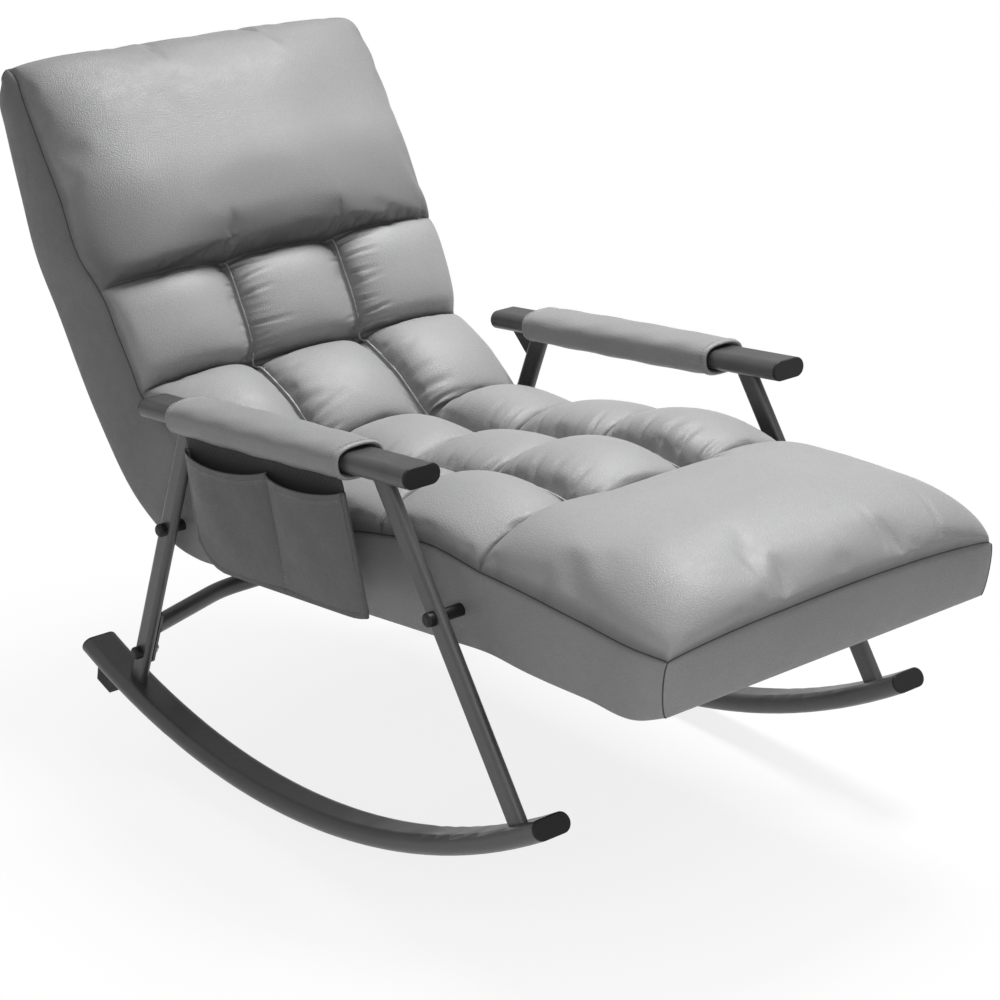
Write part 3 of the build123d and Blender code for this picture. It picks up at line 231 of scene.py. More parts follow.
THREAD_LIFT = 0.0002       # stitches over the pocket's cloth

# Camera, in the level frame
CAMERA_PLACE = (-2.0030, -2.6199, 1.3144)
CAMERA_RIGHT = (0.76993, -0.63344, -0.07722)
CAMERA_UP = (0.23574, 0.16989, 0.95685)
CAMERA_BACK = (-0.59299, -0.75492, 0.28013)
SENSOR = 36.0
FOCAL_LENGTH = 93.16

# Studio. Lamps in the level frame: place, aim, edge, watts and whether they are mirrored by the chair.
LAMPS = {"overhead softbox": ((1.05, -0.25, 3.3), (0, -0.05, 0.4), 1.2, 126.0, True),
         "front fill": ((-1.9, -3.0, 1.7), (0, -0.1, 0.4), 1.6, 12.0, True),
         "low fill": ((-1.7, -1.9, 0.30), (-0.25, -0.2, 0.32), 0.9, 9.5, False),
         "rear fill": ((1.6, 3.2, 1.9), (0, 0.2, 0.5), 1.6, 26.0, False)}
FLOOR_REACH = 14.0
FLOOR_SEEN = (0.93, 0.93, 0.93, 1.0)   # colour of the floor to the camera
FLOOR_GLOW = (0.3, 1.1, 0.83, 1.0)     # its glow from near the chair to further off
AIR_LIGHT = 0.17
AIR_MIRRORED = (-0.6, 0.9, 1.0, 0.35)  # strength of the air in mirror images, from the front to behind


def turned(vectors):
    """Level-frame directions in the CAD frame."""
    vectors = np.asarray(vectors, float)
    return (vectors[..., 0:1] * np.array([1.0, 0, 0]) + vectors[..., 1:2] * LEVEL_Y
            + vectors[..., 2:3] * LEVEL_Z)


def placed(points):
    """Level-frame points in the CAD frame."""
    return BACK_PIVOT + turned(np.asarray(points, float) - np.array([0.0, BACK_HINGE_Y, HINGE_HEIGHT]))


def tuple_point(point):
    return tuple(float(c) for c in placed(point))


# Settings that a user would change


def amount_field(name, description, default, **more):
    return bpy.props.FloatProperty(name=name, description=description, default=default, **more)


def length_field(name, description, default):
    return amount_field(name, description, default, unit="LENGTH")


def colour_field(name, description, default):
    return bpy.props.FloatVectorProperty(name=name, description=description, default=default,
                                         subtype="COLOR", size=3)


class ChaiseSettings(bpy.types.PropertyGroup):
    """Sizes of the tufted cushion."""
    column_seam: length_field("Column seam", "Lengthwise tuft seams, from the middle", 0.091)
    band_bulge: length_field("Band bulge", "How far the side bands stand out between their seams", 0.007)
    pucker_depth: length_field("Pucker depth", "Deepest gather along the tuft seams", 0.0058)
    overhang: length_field("Head overhang", "How far the head pillow hangs over its seam", 0.028)
    pressure: amount_field("Pressure", "Filling pressure while the leather swells", 2.5)
    growth: amount_field("Spare leather", "Share of spare leather between the seams", 0.008)
    swell: length_field("Swell", "Furthest that the leather may move while it swells", 0.012)
    top_colour: colour_field("Top leather", "Colour of the top panels", (0.335, 0.335, 0.338))
    # Painted highlight: the ridges are lighter than the leather they are sewn from, for the light they catch
    ridge_highlight_colour: colour_field("Seam ridges", "Colour of the ridges along the tuft seams",
                               (0.52, 0.52, 0.525))
    # Painted shade: the bands are the top panels' leather, made darker for the shade they stand in
    shaded_band_colour: colour_field("Band leather", "Colour of the side bands", (0.268, 0.268, 0.271))


class ArmSettings(bpy.types.PropertyGroup):
    """Sizes of the armrest sleeves and the pocket."""
    sleeve_colour: colour_field("Sleeve leather", "Colour of the padded sleeves", (0.285, 0.285, 0.289))
    pocket_colour: colour_field("Pocket leather", "Colour of the side pocket", (0.118, 0.118, 0.120))
    stitch_pitch: length_field("Stitch pitch", "Distance from stitch to stitch", 0.0042)
    stitch_width: length_field("Stitch width", "Thickness of the sewing thread", 0.0008)


class FinishSettings(bpy.types.PropertyGroup):
    """Colours of the frame and the studio."""
    paint_colour: colour_field("Frame paint", "Colour of the powder coat", (0.083, 0.083, 0.085))
    floor_colour: colour_field("Floor", "Colour of the studio floor", (0.62, 0.62, 0.62))


# Shader helpers


def shader_node(tree, kind, inputs=None, **settings):
    """Adds a node; an input that is a socket is linked, any other value is set on it."""
    made = tree.nodes.new(kind)
    for name, value in settings.items():
        setattr(made, name, value)
    for name, value in (inputs or {}).items():
        socket = made.inputs[name]
        if isinstance(value, bpy.types.NodeSocket):
            tree.links.new(value, socket)
        else:
            socket.default_value = value
    return made


def maths(tree, operation, first, second=0.5, clamp=False):
    return shader_node(tree, "ShaderNodeMath", {0: first, 1: second}, operation=operation,
                       use_clamp=clamp).outputs[0]


def mix_colour(tree, share, first, second, mode="MIX"):
    made = shader_node(tree, "ShaderNodeMix", data_type="RGBA", blend_type=mode)
    for socket, value in zip((made.inputs[0], made.inputs[6], made.inputs[7]), (share, first, second)):
        if isinstance(value, bpy.types.NodeSocket):
            tree.links.new(value, socket)
        else:
            socket.default_value = value
    return made.outputs[2]


def spread(tree, value, low, high, to_low=0.0, to_high=1.0):
    """Maps a range of values to another, held inside it."""
    return shader_node(tree, "ShaderNodeMapRange",
                       {"Value": value, "From Min": low, "From Max": high,
                        "To Min": to_low, "To Max": to_high}).outputs["Result"]


FLOAT = "NodeSocketFloat"
COLOUR = "NodeSocketColor"
VECTOR = "NodeSocketVector"


def surface_tree(name, **sizes):
    """An empty group for a kind of surface; returns it with its given values and its output node."""
    tree = bpy.data.node_groups.new(name, "ShaderNodeTree")
    entries = [("Position", VECTOR, None)] + [(label, FLOAT, value) for label, value in sizes.items()]
    entries += [("Colour", COLOUR, (0.3, 0.3, 0.3, 1.0)), ("Gloss", FLOAT, 0.5)]
    for label, kind, value in entries:
        socket = tree.interface.new_socket(label, in_out="INPUT", socket_type=kind)
        if value is not None:
            socket.default_value = value
    for label, kind in (("Colour", COLOUR), ("Roughness", FLOAT), ("Height", FLOAT)):
        tree.interface.new_socket(label, in_out="OUTPUT", socket_type=kind)
    given = tree.nodes.new("NodeGroupInput")
    return tree, given.outputs, tree.nodes.new("NodeGroupOutput")


def noise(tree, place, scale, detail, **more):
    return shader_node(tree, "ShaderNodeTexNoise",
                       {"Vector": place, "Scale": scale, "Detail": detail, **more}).outputs


def close_surface(tree, given, out, tone, rough, height):
    """Links a surface group's toned colour, roughness and height to its outputs."""
    tinted = shader_node(tree, "ShaderNodeVectorMath", {0: given["Colour"], "Scale": tone},
                         operation="SCALE").outputs[0]
    for label, socket in (("Colour", tinted), ("Roughness", rough), ("Height", height)):
        tree.links.new(socket, out.inputs[label])
    return tree


def leather_group():
    """Pebbled grain in two sizes, soft creasing, and the tone and gloss that go with them."""
    tree, given, out = surface_tree("leather surface", Pebble=520.0, Crease=60.0)
    warp = noise(tree, given["Position"], 90.0, 2.0)["Color"]
    shift = shader_node(tree, "ShaderNodeVectorMath", {0: warp, 1: (0.004, 0.004, 0.004)},
                        operation="MULTIPLY").outputs[0]
    bent = shader_node(tree, "ShaderNodeVectorMath", {0: given["Position"], 1: shift},
                       operation="ADD").outputs[0]
    pebble = shader_node(tree, "ShaderNodeTexVoronoi",
                         {"Vector": bent, "Scale": given["Pebble"], "Smoothness": 0.35},
                         feature="SMOOTH_F1").outputs["Distance"]
    pebble = spread(tree, pebble, 0.15, 0.62, 1.0, 0.0)
    crease = noise(tree, bent, given["Crease"], 5.0, Roughness=0.62)["Fac"]
    broad = noise(tree, given["Position"], 7.0, 3.0)["Fac"]
    height = maths(tree, "ADD", maths(tree, "MULTIPLY", pebble, 0.7), maths(tree, "MULTIPLY", crease, 0.8))
    tone = maths(tree, "ADD", spread(tree, pebble, 0.0, 1.0, 0.93, 1.03),
                 spread(tree, broad, 0.3, 0.7, -0.035, 0.035))
    rough = maths(tree, "ADD", given["Gloss"],
                  maths(tree, "ADD", spread(tree, crease, 0.3, 0.7, -0.05, 0.07),
                        spread(tree, pebble, 0.0, 1.0, 0.06, -0.03)))
    return close_surface(tree, given, out, tone, rough, height)


def coat_group():
    """Fine powder-coat texture with faint cloudy wear."""
    tree, given, out = surface_tree("powder coat", Grain=900.0)
    grain = noise(tree, given["Position"], given["Grain"], 3.0, Roughness=0.6)["Fac"]
    cloud = noise(tree, given["Position"], 22.0, 4.0)["Fac"]
    tone = maths(tree, "ADD", spread(tree, grain, 0.35, 0.65, 0.86, 1.16),
                 spread(tree, cloud, 0.35, 0.65, -0.07, 0.07))
    rough = maths(tree, "ADD", given["Gloss"],
                  maths(tree, "ADD", spread(tree, cloud, 0.35, 0.65, -0.05, 0.06),
                        spread(tree, grain, 0.35, 0.65, 0.05, -0.05)))
    return close_surface(tree, given, out, tone, rough, grain)


def weave_group():
    """Plain weave of two crossing sets of threads."""
    tree, given, out = surface_tree("plain weave", Threads=900.0)
    scaled = shader_node(tree, "ShaderNodeVectorMath", {0: given["Position"], "Scale": given["Threads"]},
                         operation="SCALE").outputs[0]
    axes = shader_node(tree, "ShaderNodeSeparateXYZ", {0: scaled}).outputs
    warp = maths(tree, "SINE", axes["X"])
    weft = maths(tree, "SINE", maths(tree, "ADD", axes["Y"], axes["Z"]))
    over = maths(tree, "MULTIPLY", warp, weft)
    fuzz = noise(tree, given["Position"], 260.0, 4.0)["Fac"]
    tone = maths(tree, "ADD", spread(tree, over, -1.0, 1.0, 0.82, 1.08),
                 spread(tree, fuzz, 0.35, 0.65, -0.09, 0.09))
    rough = maths(tree, "ADD", given["Gloss"], spread(tree, fuzz, 0.35, 0.65, -0.06, 0.06))
    return close_surface(tree, given, out, tone, rough, maths(tree, "ADD", over, fuzz))


GROUPS = {}


def surface_group(kind):
    """The shared node group of a kind of surface, built once."""
    makers = {"leather": leather_group, "coat": coat_group, "weave": weave_group}
    if kind not in GROUPS:
        GROUPS[kind] = makers[kind]()
    return GROUPS[kind]


def finish(name, kind, colour, gloss, bump, metallic=0.0, specular=0.5, sheen=0.0, painted_shade=0.0, **sizes):
    """A material whose colour, roughness and bump come from a shared group; painted shade from the seam layer
    darkens it near seams and creases.
    """
    if name in bpy.data.materials:
        return bpy.data.materials[name]
    material = bpy.data.materials.new(name)
    material.use_nodes = True
    tree = material.node_tree
    shader = tree.nodes["Principled BSDF"]
    place = shader_node(tree, "ShaderNodeTexCoord").outputs["Object"]
    surface = shader_node(tree, "ShaderNodeGroup", node_tree=surface_group(kind))
    tree.links.new(place, surface.inputs["Position"])
    surface.inputs["Colour"].default_value = (*colour, 1.0)
    surface.inputs["Gloss"].default_value = gloss
    for label, value in sizes.items():
        surface.inputs[label].default_value = value
    relief = shader_node(tree, "ShaderNodeBump",
                         {"Height": surface.outputs["Height"], "Strength": 1.0, "Distance": bump})
    shade = surface.outputs["Colour"]
    # Painted shade: the seam layer darkens the colour towards its darkest painted tone
    if painted_shade:
        seam = shader_node(tree, "ShaderNodeAttribute", attribute_name="seam")
        dark = maths(tree, "MULTIPLY", seam.outputs["Fac"], painted_shade)
        shade = mix_colour(tree, dark, shade, (*darker(colour, PAINTED_SHADE_TONE), 1.0))
    tree.links.new(shade, shader.inputs["Base Color"])
    tree.links.new(surface.outputs["Roughness"], shader.inputs["Roughness"])
    tree.links.new(relief.outputs["Normal"], shader.inputs["Normal"])
    shader.inputs["Metallic"].default_value = metallic
    shader.inputs["Specular IOR Level"].default_value = specular
    shader.inputs["Sheen Weight"].default_value = sheen
    return material


def leather(name, colour, gloss=0.46, painted_shade=0.0):
    return finish(name, "leather", colour, gloss, 0.0003, specular=0.45, painted_shade=painted_shade)


def base_cloth():
    return finish("base cloth", "weave", (0.085, 0.085, 0.088), 0.85, 0.0003, sheen=0.2)


def thread(colour=(0.42, 0.42, 0.42)):
    return finish("sewing thread", "weave", colour, 0.7, 0.0001, Threads=9000.0)


def darker(colour, share):
    return tuple(share * c for c in colour)


# Mesh helpers


def new_piece(name, points, faces, materials, indices=None):
    """A smooth-shaded mesh object at the origin."""
    mesh = bpy.data.meshes.new(name)
    mesh.from_pydata([tuple(float(c) for c in point) for point in points], [],
                     [tuple(int(i) for i in face) for face in faces])
    for material in materials:
        mesh.materials.append(material)
    if indices is not None:
        mesh.polygons.foreach_set("material_index", np.asarray(indices, np.int32))
    mesh.polygons.foreach_set("use_smooth", np.ones(len(mesh.polygons), bool))
    piece = bpy.data.objects.new(name, mesh)
    bpy.context.scene.collection.objects.link(piece)
    return piece


def turn_outward(piece):
    """Merges doubles and turns every face of a closed mesh outward."""
    form = bmesh.new()
    form.from_mesh(piece.data)
    bmesh.ops.remove_doubles(form, verts=form.verts, dist=1e-6)
    bmesh.ops.recalc_face_normals(form, faces=form.faces)
    form.to_mesh(piece.data)
    form.free()


def apply_modifiers(piece):
    """Replaces the piece's mesh by its evaluated one and removes the modifiers."""
    bpy.context.view_layer.update()
    evaluated = piece.evaluated_get(bpy.context.evaluated_depsgraph_get())
    mesh = bpy.data.meshes.new_from_object(evaluated)
    piece.modifiers.clear()
    piece.data = mesh
    mesh.polygons.foreach_set("use_smooth", np.ones(len(mesh.polygons), bool))


def subdivide(piece, levels=1):
    modifier = piece.modifiers.new("smooth", "SUBSURF")
    modifier.levels = levels
    modifier.render_levels = levels
    apply_modifiers(piece)


def grid_faces(index):
    """Quads of a grid of vertex numbers."""
    return [(index[i, j], index[i, j + 1], index[i + 1, j + 1], index[i + 1, j])
            for i in range(index.shape[0] - 1) for j in range(index.shape[1] - 1)]


def crowded(count, pull=0.10):
    """Shares from 0 to 1 that stand closer together at both ends."""
    t = np.linspace(0.0, 1.0, count + 1)
    return t - pull * np.sin(2 * math.pi * t)


def smooth_path(knots, values, at):
    """Cubic curve through rows of values at uneven knots."""
    knots, values, at = np.asarray(knots, float), np.asarray(values, float), np.asarray(at, float)
    step = np.diff(knots)
    slope = np.diff(values, axis=0) / step[:, None]
    tangent = np.empty_like(values)
    tangent[0], tangent[-1] = slope[0], slope[-1]
    before, after = step[:-1, None], step[1:, None]
    tangent[1:-1] = (after * slope[:-1] + before * slope[1:]) / (before + after)
    k = np.clip(np.searchsorted(knots, at, side="right") - 1, 0, len(step) - 1)
    h = step[k][:, None]
    t = (at - knots[k])[:, None] / h
    return ((1 + 2 * t) * (1 - t) ** 2 * values[k] + t * (1 - t) ** 2 * h * tangent[k]
            + t * t * (3 - 2 * t) * values[k + 1] + t * t * (t - 1) * h * tangent[k + 1])


def arch(t):
    """Half an ellipse over 0 to 1: square to the seam at both ends and full in the middle."""
    return np.sqrt(np.clip(1 - (2 * np.clip(t, 0, 1) - 1) ** 2, 0, 1))


def rise(t):
    """Quarter of an ellipse: from 0 square to the seam, to 1 and level from t = 1 on."""
    return np.sqrt(np.clip(1 - (1 - np.clip(t, 0, 1)) ** 2, 0, 1))


# Sewing by Geometry Nodes


def sewing_tree(name, sizes):
    """An empty geometry tree with a line of edges as input, named sizes, thread material and output."""
    tree = bpy.data.node_groups.new(name, "GeometryNodeTree")
    tree.interface.new_socket("Line", in_out="INPUT", socket_type="NodeSocketGeometry")
    for label, value in sizes:
        socket = tree.interface.new_socket(label, in_out="INPUT", socket_type="NodeSocketFloat")
        socket.default_value = value
    tree.interface.new_socket("Thread", in_out="INPUT", socket_type="NodeSocketMaterial")
    tree.interface.new_socket("Sewing", in_out="OUTPUT", socket_type="NodeSocketGeometry")
    return tree, tree.nodes.new("NodeGroupInput"), tree.nodes.new("NodeGroupOutput")


def finish_tree(tree, start, out, geometry):
    """Ends a sewing tree in real geometry with the thread's material."""
    real = shader_node(tree, "GeometryNodeRealizeInstances", {"Geometry": geometry})
    smooth = shader_node(tree, "GeometryNodeSetShadeSmooth", {"Geometry": real.outputs[0]})
    done = shader_node(tree, "GeometryNodeSetMaterial",
                       {"Geometry": smooth.outputs[0], "Material": start.outputs["Thread"]})
    tree.links.new(done.outputs[0], out.inputs["Sewing"])
    return tree


def even_line(tree, start, step):
    """The line as a curve with points at an even step."""
    line = shader_node(tree, "GeometryNodeMeshToCurve", {"Mesh": start.outputs["Line"]})
    return shader_node(tree, "GeometryNodeResampleCurve",
                       {"Curve": line.outputs[0], "Length": start.outputs[step]}, mode="LENGTH").outputs[0]


def stitch_tree():
    """Single stitches at an even pitch along a line."""
    tree, start, out = sewing_tree("row of stitches",
                                   (("Pitch", 0.004), ("Length", 0.0026), ("Width", 0.0008)))
    along = shader_node(tree, "GeometryNodeInputTangent")
    turn = shader_node(tree, "FunctionNodeAlignRotationToVector", {"Vector": along.outputs[0]}, axis="X")
    bead = shader_node(tree, "GeometryNodeMeshUVSphere", {"Segments": 6, "Rings": 4, "Radius": 0.5})
    size = shader_node(tree, "ShaderNodeCombineXYZ",
                       {"X": start.outputs["Length"], "Y": start.outputs["Width"],
                        "Z": start.outputs["Width"]})
    row = shader_node(tree, "GeometryNodeInstanceOnPoints",
                      {"Points": even_line(tree, start, "Pitch"), "Instance": bead.outputs["Mesh"],
                       "Rotation": turn.outputs[0], "Scale": size.outputs[0]})
    return finish_tree(tree, start, out, row.outputs[0])


def ridge_tree():
    """A sewn ridge of leather that follows a line."""
    tree, start, out = sewing_tree("sewn ridge", (("Step", 0.003), ("Radius", 0.0016)))
    ring = shader_node(tree, "GeometryNodeCurvePrimitiveCircle",
                       {"Resolution": 8, "Radius": start.outputs["Radius"]}, mode="RADIUS")
    body = shader_node(tree, "GeometryNodeCurveToMesh",
                       {"Curve": even_line(tree, start, "Step"), "Profile Curve": ring.outputs["Curve"],
                        "Fill Caps": True})
    return finish_tree(tree, start, out, body.outputs[0])


TREES = {}


def sew(name, kind, lines, material, **sizes):
    """Runs a sewing tree along lines of CAD-frame points and keeps the plain mesh."""
    makers = {"stitches": stitch_tree, "ridge": ridge_tree}
    if kind not in TREES:
        TREES[kind] = makers[kind]()
    points, edges = [], []
    for line in lines:
        edges += [(len(points) + i, len(points) + i + 1) for i in range(len(line) - 1)]
        points += [tuple(float(c) for c in p) for p in line]
    mesh = bpy.data.meshes.new(name)
    mesh.from_pydata(points, edges, [])
    piece = bpy.data.objects.new(name, mesh)
    bpy.context.scene.collection.objects.link(piece)
    modifier = piece.modifiers.new("sewing", "NODES")
    modifier.node_group = TREES[kind]
    for item in TREES[kind].interface.items_tree:
        if item.in_out == "INPUT" and item.name in sizes:
            modifier[item.identifier] = sizes[item.name]
        if item.name == "Thread":
            modifier[item.identifier] = material
    apply_modifiers(piece)
    if not piece.data.polygons:
        raise RuntimeError("no sewing was made for " + name)
    return piece


# Chaise


def level_stations():
    """All stations in the level frame, in metres: underside edge, top seam, half width and lean."""
    rows = []
    for hinge_y, stations in ((FOOT_HINGE_Y, FOOT_STATIONS + (KNEE_STATION,) + SEAT_STATIONS),
                              (BACK_HINGE_Y, BACK_STATIONS)):
        for under, seam, half, lean in stations:
            rows.append([hinge_y + under[0] / 1000, HINGE_HEIGHT + under[1] / 1000,
                         hinge_y + seam[0] / 1000, HINGE_HEIGHT + seam[1] / 1000,
                         half / 1000, math.radians(lean)])
    return np.array(rows)


def station_knots(stations):
    """Length along the middle of the side view up to every station."""
    middle = (stations[:, 0:2] + stations[:, 2:4]) / 2
    return np.concatenate([[0], np.cumsum(np.linalg.norm(np.diff(middle, axis=0), axis=1))])


def zone_limits():
    """Reach of every zone along the chaise."""
    knots = station_knots(level_stations())
    return {name: (knots[first], knots[last]) for name, first, last, _ in ZONES}


def lines_between_seams(counts):
    """Number of the stretch and share of it, for lines that stand closer near the seams."""
    stretch = np.concatenate([np.full(count, number) for number, count in enumerate(counts)]
                             + [[len(counts) - 1]])
    share = np.concatenate([crowded(count)[:-1] for count in counts] + [[1.0]])
    return stretch, share


def chaise_rows():
    """Every crosswise line of the chaise: its zone, share of the zone, reach and side view."""
    stations = level_stations()
    knots = station_knots(stations)
    names, first, last, quads = zip(*ZONES)
    zone, share = lines_between_seams(quads)
    start, stop = knots[list(first)][zone], knots[list(last)][zone]
    reach = start + share * (stop - start)
    return np.array(names)[zone], share, reach, smooth_path(knots, stations, reach)


def pillow_profile(heights, column, share):
    """Padding across the chaise from its heights at column seams, middle and side columns."""
    seam, middle, side = (np.asarray(h, float)[:, None] / 1000 for h in heights)
    inward = np.where(column == 0, 1 - share, share)
    ease = share * share * (3 - 2 * share)
    bend = np.where(column == 2, COLUMN_FULLNESS, COLUMN_FULLNESS + GENTLE_SIDE * ease)
    side_form = seam * (1 - inward) + (side - seam / 2) * arch(inward) ** bend
    middle_form = seam + (middle - seam) * arch(share) ** bend
    return np.where(column == 1, middle_form, side_form)


def tuft_padding(row, before, after, share, column, col_share):
    """Padding of a row of three tufts between its two creases."""
    t = share[:, None]
    crease = np.array(CREASES[before], float) * (1 - t) + np.array(CREASES[after], float) * t
    form = crease + (np.array(PILLOWS[row], float) - crease) * arch(t) ** TUFT_FULLNESS
    drop = NEAR_DROP.get(row, 0) / 1000 * arch(t) * arch(col_share)
    return pillow_profile(form.T, column, col_share) - np.where(column == 0, drop, 0)


def end_padding(name, reach, across, half, column, col_share):
    """Padding of the foot or head pillow, from the crease where it starts to its outer edge."""
    pillow = END_PILLOWS[name]
    low, high = reach.min(), reach.max()
    edge, seam = (low, high) if name == "foot" else (high, low)
    from_edge, from_seam = np.abs(reach - edge)[:, None], np.abs(reach - seam)[:, None]
    crown = pillow["edge"] + (pillow["seam"] - pillow["edge"]) * (from_edge / (high - low)) ** 2
    opening, closing = rise(from_seam / pillow["opens"]), rise(from_edge / pillow["closes"])
    pads = np.array(CREASES[pillow["row"]], float)[:, None]
    beyond = rise(from_seam / COLUMN_RUN_OUT)
    crease = (pillow_profile(pads, column, col_share) * (1 - beyond)
              + pillow_profile(pads[[1, 1, 2]], column, col_share) * beyond)
    out = np.clip(np.abs(across / half), 0, 1)
    lip = pillow["lip"] * (1 - out ** LIP_SQUARE)
    flat = np.clip((out - END_FLAT) / (1 - END_FLAT), 0, 1) ** 2
    dome = np.sqrt(1 - np.where(across < 0, flat, out ** pillow["square"]))
    return crease * (1 - opening) + (crown * closing * dome + lip * (1 - closing)) * opening


def chaise_padding(zone, share, reach, half, column, col_share, across):
    """Height of the padding over the top seam, for every point of the top panel."""
    height = np.zeros(across.shape)
    creases = list(CREASES)
    for row, before, after in zip(PILLOWS, creases, creases[1:]):
        here = zone == row
        height[here] = tuft_padding(row, before, after, share[here], column, col_share)
    for name in END_PILLOWS:
        here = zone == name
        height[here] = end_padding(name, reach[here], across[here], half[here], column, col_share)
    return height


def fade(distance, width):
    """1 on a line, falling softly to 0 beside it."""
    return np.exp(-(distance / width) ** 2)


def gathers(along, away, places, depth, length, width, slant, seed):
    """Short sewn-in folds with raised shoulders that start at a seam and run out away from it."""
    chance = np.random.default_rng(seed)
    height, out, wide = FOLD_SHOULDER
    relief = np.zeros(len(along))
    for place in places:
        deep = depth * chance.uniform(*FOLD_DEPTHS)
        long = length * chance.uniform(*FOLD_LENGTHS)
        thick = width * chance.uniform(*FOLD_WIDTHS) * (1 + FOLD_SPLAY * away)
        lean = slant + chance.uniform(*FOLD_SLANTS)
        off = (along - place - chance.uniform(*FOLD_PLACES) - lean * away) / thick
        run = np.clip(1 - away / long, 0, 1) ** 1.2 * np.clip(away / FOLD_START, 0, 1)
        relief += deep * (height * fade(np.abs(off) - out, wide) - fade(off, 1.0)) * run
    return relief


def chaise_gathers(reach, across, seam, depth):
    """Puckers along the column seams and the gathers at the head, foot and knee seams."""
    limits = zone_limits()
    relief = np.zeros(len(reach))
    for number, (row, (count, strength)) in enumerate(ROW_FOLDS.items()):
        low, high = limits[row]
        here = (reach >= low) & (reach < high)
        places = low + (np.arange(count) + 0.5) / count * (high - low)
        for column, x in enumerate((-seam, seam)):
            for outward, share, length in COLUMN_FOLDS:
                relief[here] += gathers(reach[here], (across[here] - x) * outward, places,
                                        depth * strength * share, length, COLUMN_FOLD_WIDTH,
                                        COLUMN_FOLD_SLANT * outward, 7 * number + 31 * column + outward + 2)
    head, foot = reach >= limits["head"][0], reach < limits["foot"][1]
    from_head, from_front = reach - limits["head"][0], reach - limits["foot"][0] - FRONT_FOLDS_IN
    from_knee = limits["foot"][1] - reach
    for here, away, places, share, length, width, slant, seed in (
            (head, from_head, np.linspace(-0.20, 0.25, 19), 0.75, 0.042, 0.0038, 0.1, 5),
            (foot, from_front, (-0.115, 0.0, 0.07, 0.16), 0.55, 0.06, 0.0040, 0.25, 11),
            (foot, from_knee, np.linspace(-0.2, 0.2, 6), 0.3, 0.045, 0.005, 0.0, 12)):
        relief[here] += gathers(across[here], away[here], places, depth * share, length, width, slant, seed)
    return relief


def slow_swell(x, s, size):
    """Gentle unevenness of a hand-filled cushion."""
    return size * (np.sin(9.1 * x + 13.7 * s + 0.4) * np.sin(17.3 * s - 6.1 * x + 1.9)
                   + 0.6 * np.sin(31.0 * x + 1.1) * np.sin(23.0 * s + 0.7))


def side_directions(reach, top, lean):
    """Directions along the top seam and out of it in side view, smoothed along the chaise."""
    near = fade(reach[:, None] - reach[None, :], BEND_SPREAD) * np.gradient(reach)[None, :]
    forth = near @ np.gradient(top, reach, axis=0)
    forth /= np.linalg.norm(forth, axis=1)[:, None]
    up = np.stack([-forth[:, 1] * np.cos(lean) - forth[:, 0] * np.sin(lean),
                   forth[:, 0] * np.cos(lean) - forth[:, 1] * np.sin(lean)], 1)
    return forth, up


def forward_roll(zone, share, reach, overhang):
    """How far every crosswise line of full padding rolls along the chaise."""
    roll = np.zeros(len(zone))
    head, foot = zone == "head", zone == "foot"
    above = (reach[head] - reach[head].min()) / HEAD_ROLL_LENGTH
    roll[head] = -overhang * np.sin(math.pi * np.clip(above, 0, 1))
    before = (reach[foot].max() - reach[foot]) / KNEE_ROLL[1]
    roll[foot] = KNEE_ROLL[0] * np.sin(math.pi * np.clip(before, 0, 1))
    for row, forward in ROW_ROLL.items():
        here = zone == row
        roll[here] = -forward * arch(share[here] * 1.1) * (1 - share[here])
    return roll


def sideways_lie(reach):
    """How far the cushion lies to one side, along its length."""
    limits = zone_limits()
    start, stop = limits["row5"][0], limits["row1"][0]
    share = np.clip((reach - start) / (stop - start), 0, 1)
    return CHAISE_DRIFT[0] + (CHAISE_DRIFT[1] - CHAISE_DRIFT[0]) * share


def top_panel(zone, share, reach, side, settings):
    """Crosswise places and points of the tufted top panel, as grids in the level frame."""
    top, half = side[:, 2:4], side[:, 4:5]
    column, col_share = lines_between_seams(COLUMN_QUADS)
    seam = settings.column_seam
    starts = np.concatenate([-half, 0 * half - seam, 0 * half + seam], 1)
    widths = np.concatenate([half - seam, 0 * half + 2 * seam, half - seam], 1)
    across = starts[:, column] + widths[:, column] * col_share
    height = chaise_padding(zone, share, reach, half, column, col_share, across)
    height = height + slow_swell(across, reach[:, None], TOP_SWELL) * np.clip(height / SWELL_IN, 0, 1)
    roll = forward_roll(zone, share, reach, settings.overhang)[:, None] * np.clip(height / ROLL_IN, 0, 1)
    forth, up = side_directions(reach, top, side[:, 5])
    profile = top[:, None, :] + up[:, None, :] * height[:, :, None] + forth[:, None, :] * roll[:, :, None]
    inset = (half - np.abs(across)) / EDGE_LIP[1]
    lip = EDGE_LIP[0] * inset * np.exp(1 - inset) * np.clip(height / LIP_IN, 0, 1)
    x = across + sideways_lie(reach)[:, None] + np.sign(across) * lip
    return across, np.dstack([x, profile]), forth


def side_band(sign, reach, side, bulge):
    """Points of a side band from below its top seam to its lower edge, as a grid."""
    top, under, half = side[:, 2:4], side[:, 0:2], side[:, 4:5]
    down = crowded(BAND_QUADS, BAND_CROWD)[1:]
    share = down[None, :, None]
    profile = top[:, None, :] * (1 - share) + under[:, None, :] * share
    swell = slow_swell(profile[:, :, 1], reach[:, None], BAND_SWELL) * np.sin(math.pi * down)
    out = half + bulge * np.sin(math.pi * down) ** BAND_FULLNESS - BAND_TUCK * down
    return np.dstack([sideways_lie(reach)[:, None] + sign * (out + swell), profile])


def between(first, second, share):
    """Rows of points from each first point to its second one."""
    return first[:, None, :] * (1 - share)[None, :, None] + second[:, None, :] * share[None, :, None]


def width_shares(line):
    """Places on a crosswise line, as shares of its width."""
    return (line - line[0]) / (line[-1] - line[0])


